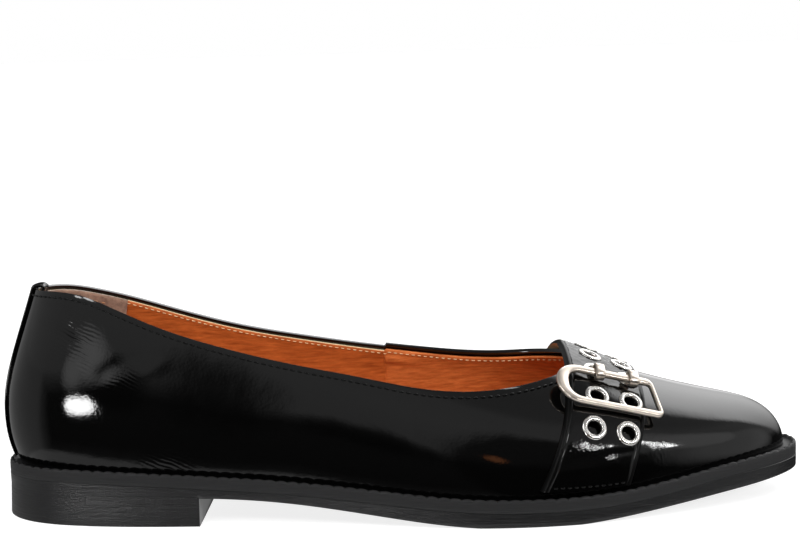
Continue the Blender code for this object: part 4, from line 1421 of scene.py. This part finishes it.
suede_tree.links.new(suede_bump.outputs["Normal"], suede_shader.inputs["Normal"])
print("suede: %d nodes" % len(suede_tree.nodes))

# %% Heel grip
GRIP_FRONT_X = 37.6
GRIP_THICK = 0.6
GRIP_DROP, GRIP_LOW, GRIP_GAP = 1.0, 0.06, 0.12
grip_angles = np.linspace(0.0, float(turn(GRIP_FRONT_X)), 60)
grip_grids = []
for side in (-1, 1):
    top = topline_t(grip_angles, side, GRIP_DROP)
    grip_offset = -(UPPER_WALL + LINING_THICK + GRIP_GAP)
    grip_grids.append(side_grid(grip_angles, side, GRIP_LOW, top, np.linspace(0.0, 1.0, 40), grip_offset))
close_back(grip_grids)
points, faces = two_sides(grip_grids)
grip = make_piece("heel_grip", points, faces, suede_material, weld=0.02)
face_away(grip, (40.0, 0.0, 40.0))
thicken(grip, GRIP_THICK, -1.0)
apply_modifiers(grip)
dress(grip, "tan_leather")

# %% [markdown]
# ## Stitching
# Each stitch is a short thread that rises out of one needle hole and dives into the next. A row could be a bump, but
# each stitch catches its own light, so it is a bent capsule, copied along a line that is dropped on the leather
# below it. All stitches of a row are one joined mesh.


# %% Thread
def sewing_thread(name, colour, roughness):
    """Bonded polyester thread: a soft sheen and a twist too fine to draw."""
    return start_material(name, Base_Color=linear(colour), Roughness=roughness, Specular_IOR_Level=0.22)[0]


black_thread = sewing_thread("black_bonded_thread", "#040404", 0.38)
pale_thread = sewing_thread("pale_bonded_thread", "#e6c79a", 0.6)
grip_thread = sewing_thread("brown_bonded_thread", "#b98763", 0.6)
print("threads: black, pale and brown")

# %% Stitches along a line
THREAD_RINGS, THREAD_SIDES = 7, 8
THREAD_POINTS = THREAD_RINGS * THREAD_SIDES


def surface_of(piece):
    """Search tree over a piece's faces, in metres."""
    vertices = [vertex.co[:] for vertex in piece.data.vertices]
    return BVHTree.FromPolygons(vertices, [polygon.vertices[:] for polygon in piece.data.polygons])


def stitch_row(name, line, surface, pitch, length, radius, material, slot):
    """Stitches along a line of last millimetres, laid on a surface."""
    line = np.asarray(line, float)
    run = np.concatenate(([0.0], np.cumsum(np.linalg.norm(np.diff(line, axis=0), axis=1))))
    count = int(run[-1] / pitch)
    centres = (np.arange(count) + 0.5) * run[-1] / count
    spots = np.stack([np.interp(centres, run, line[:, k]) for k in range(3)], axis=-1)
    later = np.stack([np.interp(centres + 0.4, run, line[:, k]) for k in range(3)], axis=-1)
    earlier = np.stack([np.interp(centres - 0.4, run, line[:, k]) for k in range(3)], axis=-1)
    ways = unit(later - earlier)
    placed, normals = [], []
    for spot in spots:
        found, normal, _, _ = surface.find_nearest(Vector(to_frame(spot)))
        placed.append(np.array(found) / MM + BOX_MID)
        normals.append(np.array(normal))
    placed, normals = np.array(placed), np.array(normals)
    ways = unit(ways - normals * (ways * normals).sum(1, keepdims=True))
    across = np.cross(normals, ways)
    share = np.linspace(-1.0, 1.0, THREAD_RINGS)
    around = np.linspace(0.0, 2.0 * math.pi, THREAD_SIDES, endpoint=False)
    thin = radius * np.sqrt(np.maximum(0.04, 1.0 - share ** 4))
    lift = radius * (0.9 - 1.5 * share ** 4)
    points = (
        placed[:, None, None, :]
        + ways[:, None, None, :] * (share * length / 2.0)[None, :, None, None]
        + normals[:, None, None, :] * (lift[None, :, None] + thin[:, None] * np.sin(around))[..., None]
        + across[:, None, None, :] * (thin[:, None] * np.cos(around))[None, :, :, None]
    )
    one = [list(face) for face in grid_faces(THREAD_RINGS, THREAD_SIDES, wrap_columns=True)]
    one += [list(range(THREAD_SIDES)), list(range(THREAD_POINTS - THREAD_SIDES, THREAD_POINTS))]
    faces = [[index + THREAD_POINTS * i for index in face] for i in range(count) for face in one]
    dress(make_piece(name, points, faces, material), slot)
    print("%s: %d stitches" % (name, count))


# %% Collar stitches
def collar_line(drop, offset, count=900):
    """Closed line parallel to the collar's edge, a drop below it, from the back over the throat to the back."""
    angles = np.linspace(0.0, float(turn(THROAT_X + drop)), count)
    lines = []
    for side in (-1, 1):
        lines.append(shell(angles, side, topline_t(angles, side, drop), np.full(count, offset)))
    return np.concatenate((lines[0], lines[1][::-1][1:]))


OUTER_ROW_DROP, INNER_ROW_DROP = 1.9, 2.2
# The back strip covers this many points of the outer row at both ends
UNDER_STRIP = 30
outer_row = collar_line(OUTER_ROW_DROP, 0.0)[UNDER_STRIP:-UNDER_STRIP]
stitch_row(
    "collar_stitches", outer_row, surface_of(upper), pitch=2.4, length=1.9, radius=0.3, material=black_thread,
    slot="black_patent",
)
inner_row = collar_line(INNER_ROW_DROP, -(UPPER_WALL + LINING_THICK + 0.3))
stitch_row(
    "lining_stitches", inner_row, surface_of(lining), pitch=2.1, length=1.35, radius=0.17, material=pale_thread,
    slot="tan_leather",
)

# %% Heel grip stitches
GRIP_ROW_INSET, GRIP_ROW_DROP, GRIP_ROW_START = 2.0, 1.6, 3.0
from_back = np.linalg.norm(inner_row[:, :2] - (0.0, 6.0), axis=1)
grip_line = inner_row[from_back < GRIP_FRONT_X - GRIP_ROW_INSET] - (0.0, 0.0, GRIP_ROW_DROP)
grip_line = grip_line[grip_line[:, 1] > GRIP_ROW_START]
stitch_row(
    "heel_grip_stitches", grip_line, surface_of(grip), pitch=2.4, length=1.5, radius=0.2, material=grip_thread,
    slot="tan_leather",
)

# %% Strap stitches
FOOT_ROW = 0.982
strap_surface = surface_of(strap)
for name, turned in (("strap_outer_foot_stitches", -FOOT_ROW), ("strap_inner_foot_stitches", FOOT_ROW)):
    line = strap_point(np.linspace(-STRAP_TOP_HALF, STRAP_TOP_HALF, 60), turned, 2.3)
    stitch_row(
        name, line, strap_surface, pitch=2.1, length=1.5, radius=0.26, material=black_thread, slot="black_patent"
    )

# %% [markdown]
# ## Light
# Patent leather is a black mirror, so it shows the studio and little else. The reflections on it say what stood
# there: a bright white sweep behind the toe, a dim grey room, black flags beside the lens, the pale table close to
# the shoe, and some small lamps. It could be built from planes and area lights, but then each highlight would take
# long to place. Here the studio is a world, where each flag, card or lamp is a round patch in one direction, so a
# highlight is moved by changing two angles.
# The lens sees plain white instead, and a wide lamp that mirrors do not see lifts the lining and the rubber.

# %% Room
scene = bpy.context.scene
scene.view_settings.view_transform = "Standard"

# Elevation in degrees, grey level of the room there
ROOM = ((-90.0, 1.4), (-41.0, 1.2), (-37.0, 0.02), (-35.0, 0.04), (-33.5, 0.56), (-28.5, 0.56), (-26.0, 0.06),
        (-20.0, 0.02), (0.0, 0.03), (4.0, 0.14), (9.0, 0.38), (28.0, 0.44), (45.0, 0.42), (52.0, 0.29), (90.0, 0.25))
SWEEP_RISE = ((-4.0, 0.0), (46.0, 1.0), (51.0, 1.0), (58.0, 0.1))

# Black flags beside the lens and behind the shoe: azimuth, elevation, half width, soft edge
FLAG_SHADE = 0.12
FLAGS = ((20.5, -0.5, 33.0, 3.0), (-24.0, 4.0, 8.5, 3.0), (-172.0, 14.0, 13.0, 4.0))

# Azimuth (0 is behind the lens, plus is to the toe), elevation, half width, soft edge in degrees, colour, level.
# The first is the sweep, which fades in by SWEEP_RISE
SWEEP_CARD = 0
CARDS = (
    (146.0, 30.0, 34.0, 5.0, "#ffffff", 3.8),
    (173.0, 8.0, 7.0, 4.0, "#ffffff", 1.7),
    (-110.0, 0.0, 48.0, 12.0, "#ffffff", 0.34),
    (80.0, 10.0, 26.0, 9.0, "#ffffff", 0.64),
    (66.0, 31.0, 13.0, 6.0, "#ffffff", 0.92),
    (-31.0, 13.0, 6.0, 6.0, "#ffffff", 1.25),
    (-37.5, 9.0, 5.0, 5.0, "#ffffff", 1.1),
    (-38.0, -4.6, 2.9, 1.5, "#ffffff", 26.0),
    (-34.5, -4.6, 3.3, 1.5, "#ffffff", 28.0),
    (-31.0, -4.6, 2.9, 1.5, "#ffffff", 26.0),
    (-44.0, 33.0, 3.0, 1.5, "#ffffff", 12.0),
    (-34.0, 36.0, 3.0, 1.5, "#ffffff", 12.0),
    (-58.0, 46.0, 4.0, 1.0, "#ffffff", 24.0),
    (80.0, 74.0, 3.4, 1.0, "#ffffff", 6.0),
    (34.5, 27.0, 2.4, 1.0, "#ffffff", 44.0),
    (41.0, 27.0, 2.0, 1.0, "#ffffff", 44.0),
    (55.5, 28.0, 1.7, 0.8, "#ffffff", 40.0),
    (55.5, 31.0, 1.7, 0.8, "#ffffff", 40.0),
    (55.5, 34.0, 1.5, 0.8, "#ffffff", 30.0),
    (0.0, 10.0, 2.6, 1.6, "#d98a5a", 1.6),
)


def toward(azimuth, elevation):
    """Unit direction from the shoe for two angles in degrees."""
    a, e = math.radians(azimuth), math.radians(elevation)
    return math.sin(a) * math.cos(e), -math.cos(a) * math.cos(e), math.sin(e)


print("studio: %d flags, %d cards and lamps" % (len(FLAGS), len(CARDS)))

# %% Studio world
world = bpy.data.worlds.new("studio")
scene.world = world
world.use_nodes = True
room = world.node_tree
room.nodes.clear()
direction = add_node(room, "ShaderNodeTexCoord").outputs["Generated"]
height = add_node(room, "ShaderNodeSeparateXYZ", {"Vector": direction})
level = add_node(room, "ShaderNodeMapRange", {"Value": height.outputs["Z"], "From Min": -1.0, "From Max": 1.0})


def by_elevation(rows):
    """Colour ramp over the room's height, from (elevation in degrees, grey level) rows."""
    ramp = add_node(room, "ShaderNodeValToRGB", {"Fac": level.outputs["Result"]})
    elements = ramp.color_ramp.elements
    while len(elements) < len(rows):
        elements.new(0.5)
    for element, (elevation, grey) in zip(elements, rows):
        element.position = (math.sin(math.radians(elevation)) + 1.0) / 2.0
        element.color = (grey, grey, grey, 1.0)
    return ramp.outputs["Color"]


def patch(azimuth, elevation, half, soft, outside, inside):
    """Value that goes from outside to inside over the soft edge of a round patch in one direction."""
    near = add_node(
        room, "ShaderNodeVectorMath", {0: direction, 1: toward(azimuth, elevation)}, operation="DOT_PRODUCT"
    )
    edge = add_node(
        room, "ShaderNodeMapRange",
        {"Value": near.outputs["Value"], "From Min": math.cos(math.radians(half + soft)),
         "From Max": math.cos(math.radians(max(0.0, half - soft))), "To Min": outside, "To Max": inside},
        interpolation_type="SMOOTHSTEP",
    )
    return edge.outputs["Result"]


light = by_elevation(ROOM)
for azimuth, elevation, half, soft in FLAGS:
    shade = patch(azimuth, elevation, half, soft, 1.0, FLAG_SHADE)
    shaded = add_node(room, "ShaderNodeVectorMath", {0: light, "Scale": shade}, operation="SCALE")
    light = shaded.outputs["Vector"]
rise = by_elevation(SWEEP_RISE)
for number, (azimuth, elevation, half, soft, colour, strength) in enumerate(CARDS):
    amount = patch(azimuth, elevation, half, soft, 0.0, strength)
    if number == SWEEP_CARD:
        amount = add_node(room, "ShaderNodeMath", {0: amount, 1: rise}, operation="MULTIPLY").outputs[0]
    card = add_node(room, "ShaderNodeVectorMath", {0: linear(colour)[:3], "Scale": amount}, operation="SCALE")
    brighter = add_node(room, "ShaderNodeVectorMath", {0: light, 1: card.outputs["Vector"]}, operation="MAXIMUM")
    light = brighter.outputs["Vector"]
seen = add_node(room, "ShaderNodeLightPath")
mirrored = add_node(room, "ShaderNodeBackground", {"Color": light, "Strength": 1.0})
backdrop = add_node(room, "ShaderNodeBackground", {"Color": (1.0, 1.0, 1.0, 1.0), "Strength": 1.0})
either = add_node(
    room, "ShaderNodeMixShader",
    {0: seen.outputs["Is Camera Ray"], 1: mirrored.outputs["Background"], 2: backdrop.outputs["Background"]},
)
add_node(room, "ShaderNodeOutputWorld", {"Surface": either.outputs["Shader"]})
print("world: %d nodes" % len(room.nodes))

# %% Table
# A white painted board that glows a little, so it stays pale and even with a soft shadow under the shoe
table_material, _, _ = start_material(
    "white_table", Base_Color=linear("#a0a0a0"), Roughness=0.9, Emission_Color=(1.0, 1.0, 1.0, 1.0),
    Emission_Strength=0.82,
)
FLOOR_HALF = 6000.0
floor = make_piece(
    "floor", [(-FLOOR_HALF, -FLOOR_HALF, 0.0), (FLOOR_HALF, -FLOOR_HALF, 0.0), (FLOOR_HALF, FLOOR_HALF, 0.0),
              (-FLOOR_HALF, FLOOR_HALF, 0.0)], [[0, 1, 2, 3]], table_material,
)
floor.visible_glossy = False
print("table: %.0f m wide" % (2.0 * FLOOR_HALF * MM))


# %% Fill lamp
def softbox(name, spot, aim, width, depth, power):
    """Wide lamp at a spot, facing a point, both in last millimetres, hidden from the lens and from mirrors."""
    lamp = bpy.data.lights.new(name, "AREA")
    lamp.shape = "RECTANGLE"
    lamp.size = width * MM
    lamp.size_y = depth * MM
    lamp.energy = power
    holder = bpy.data.objects.new(name, lamp)
    way = Vector(to_frame(aim)) - Vector(to_frame(spot))
    holder.location = Vector(to_frame(spot))
    holder.rotation_euler = way.to_track_quat("-Z", "Y").to_euler()
    holder.visible_camera = False
    holder.visible_glossy = False
    scene.collection.objects.link(holder)
    print("%s: %.0f W" % (name, power))


softbox(
    "front_fill", spot=(60.0, -900.0, 900.0), aim=(134.0, 0.0, 30.0), width=1000.0, depth=700.0, power=9.0
)
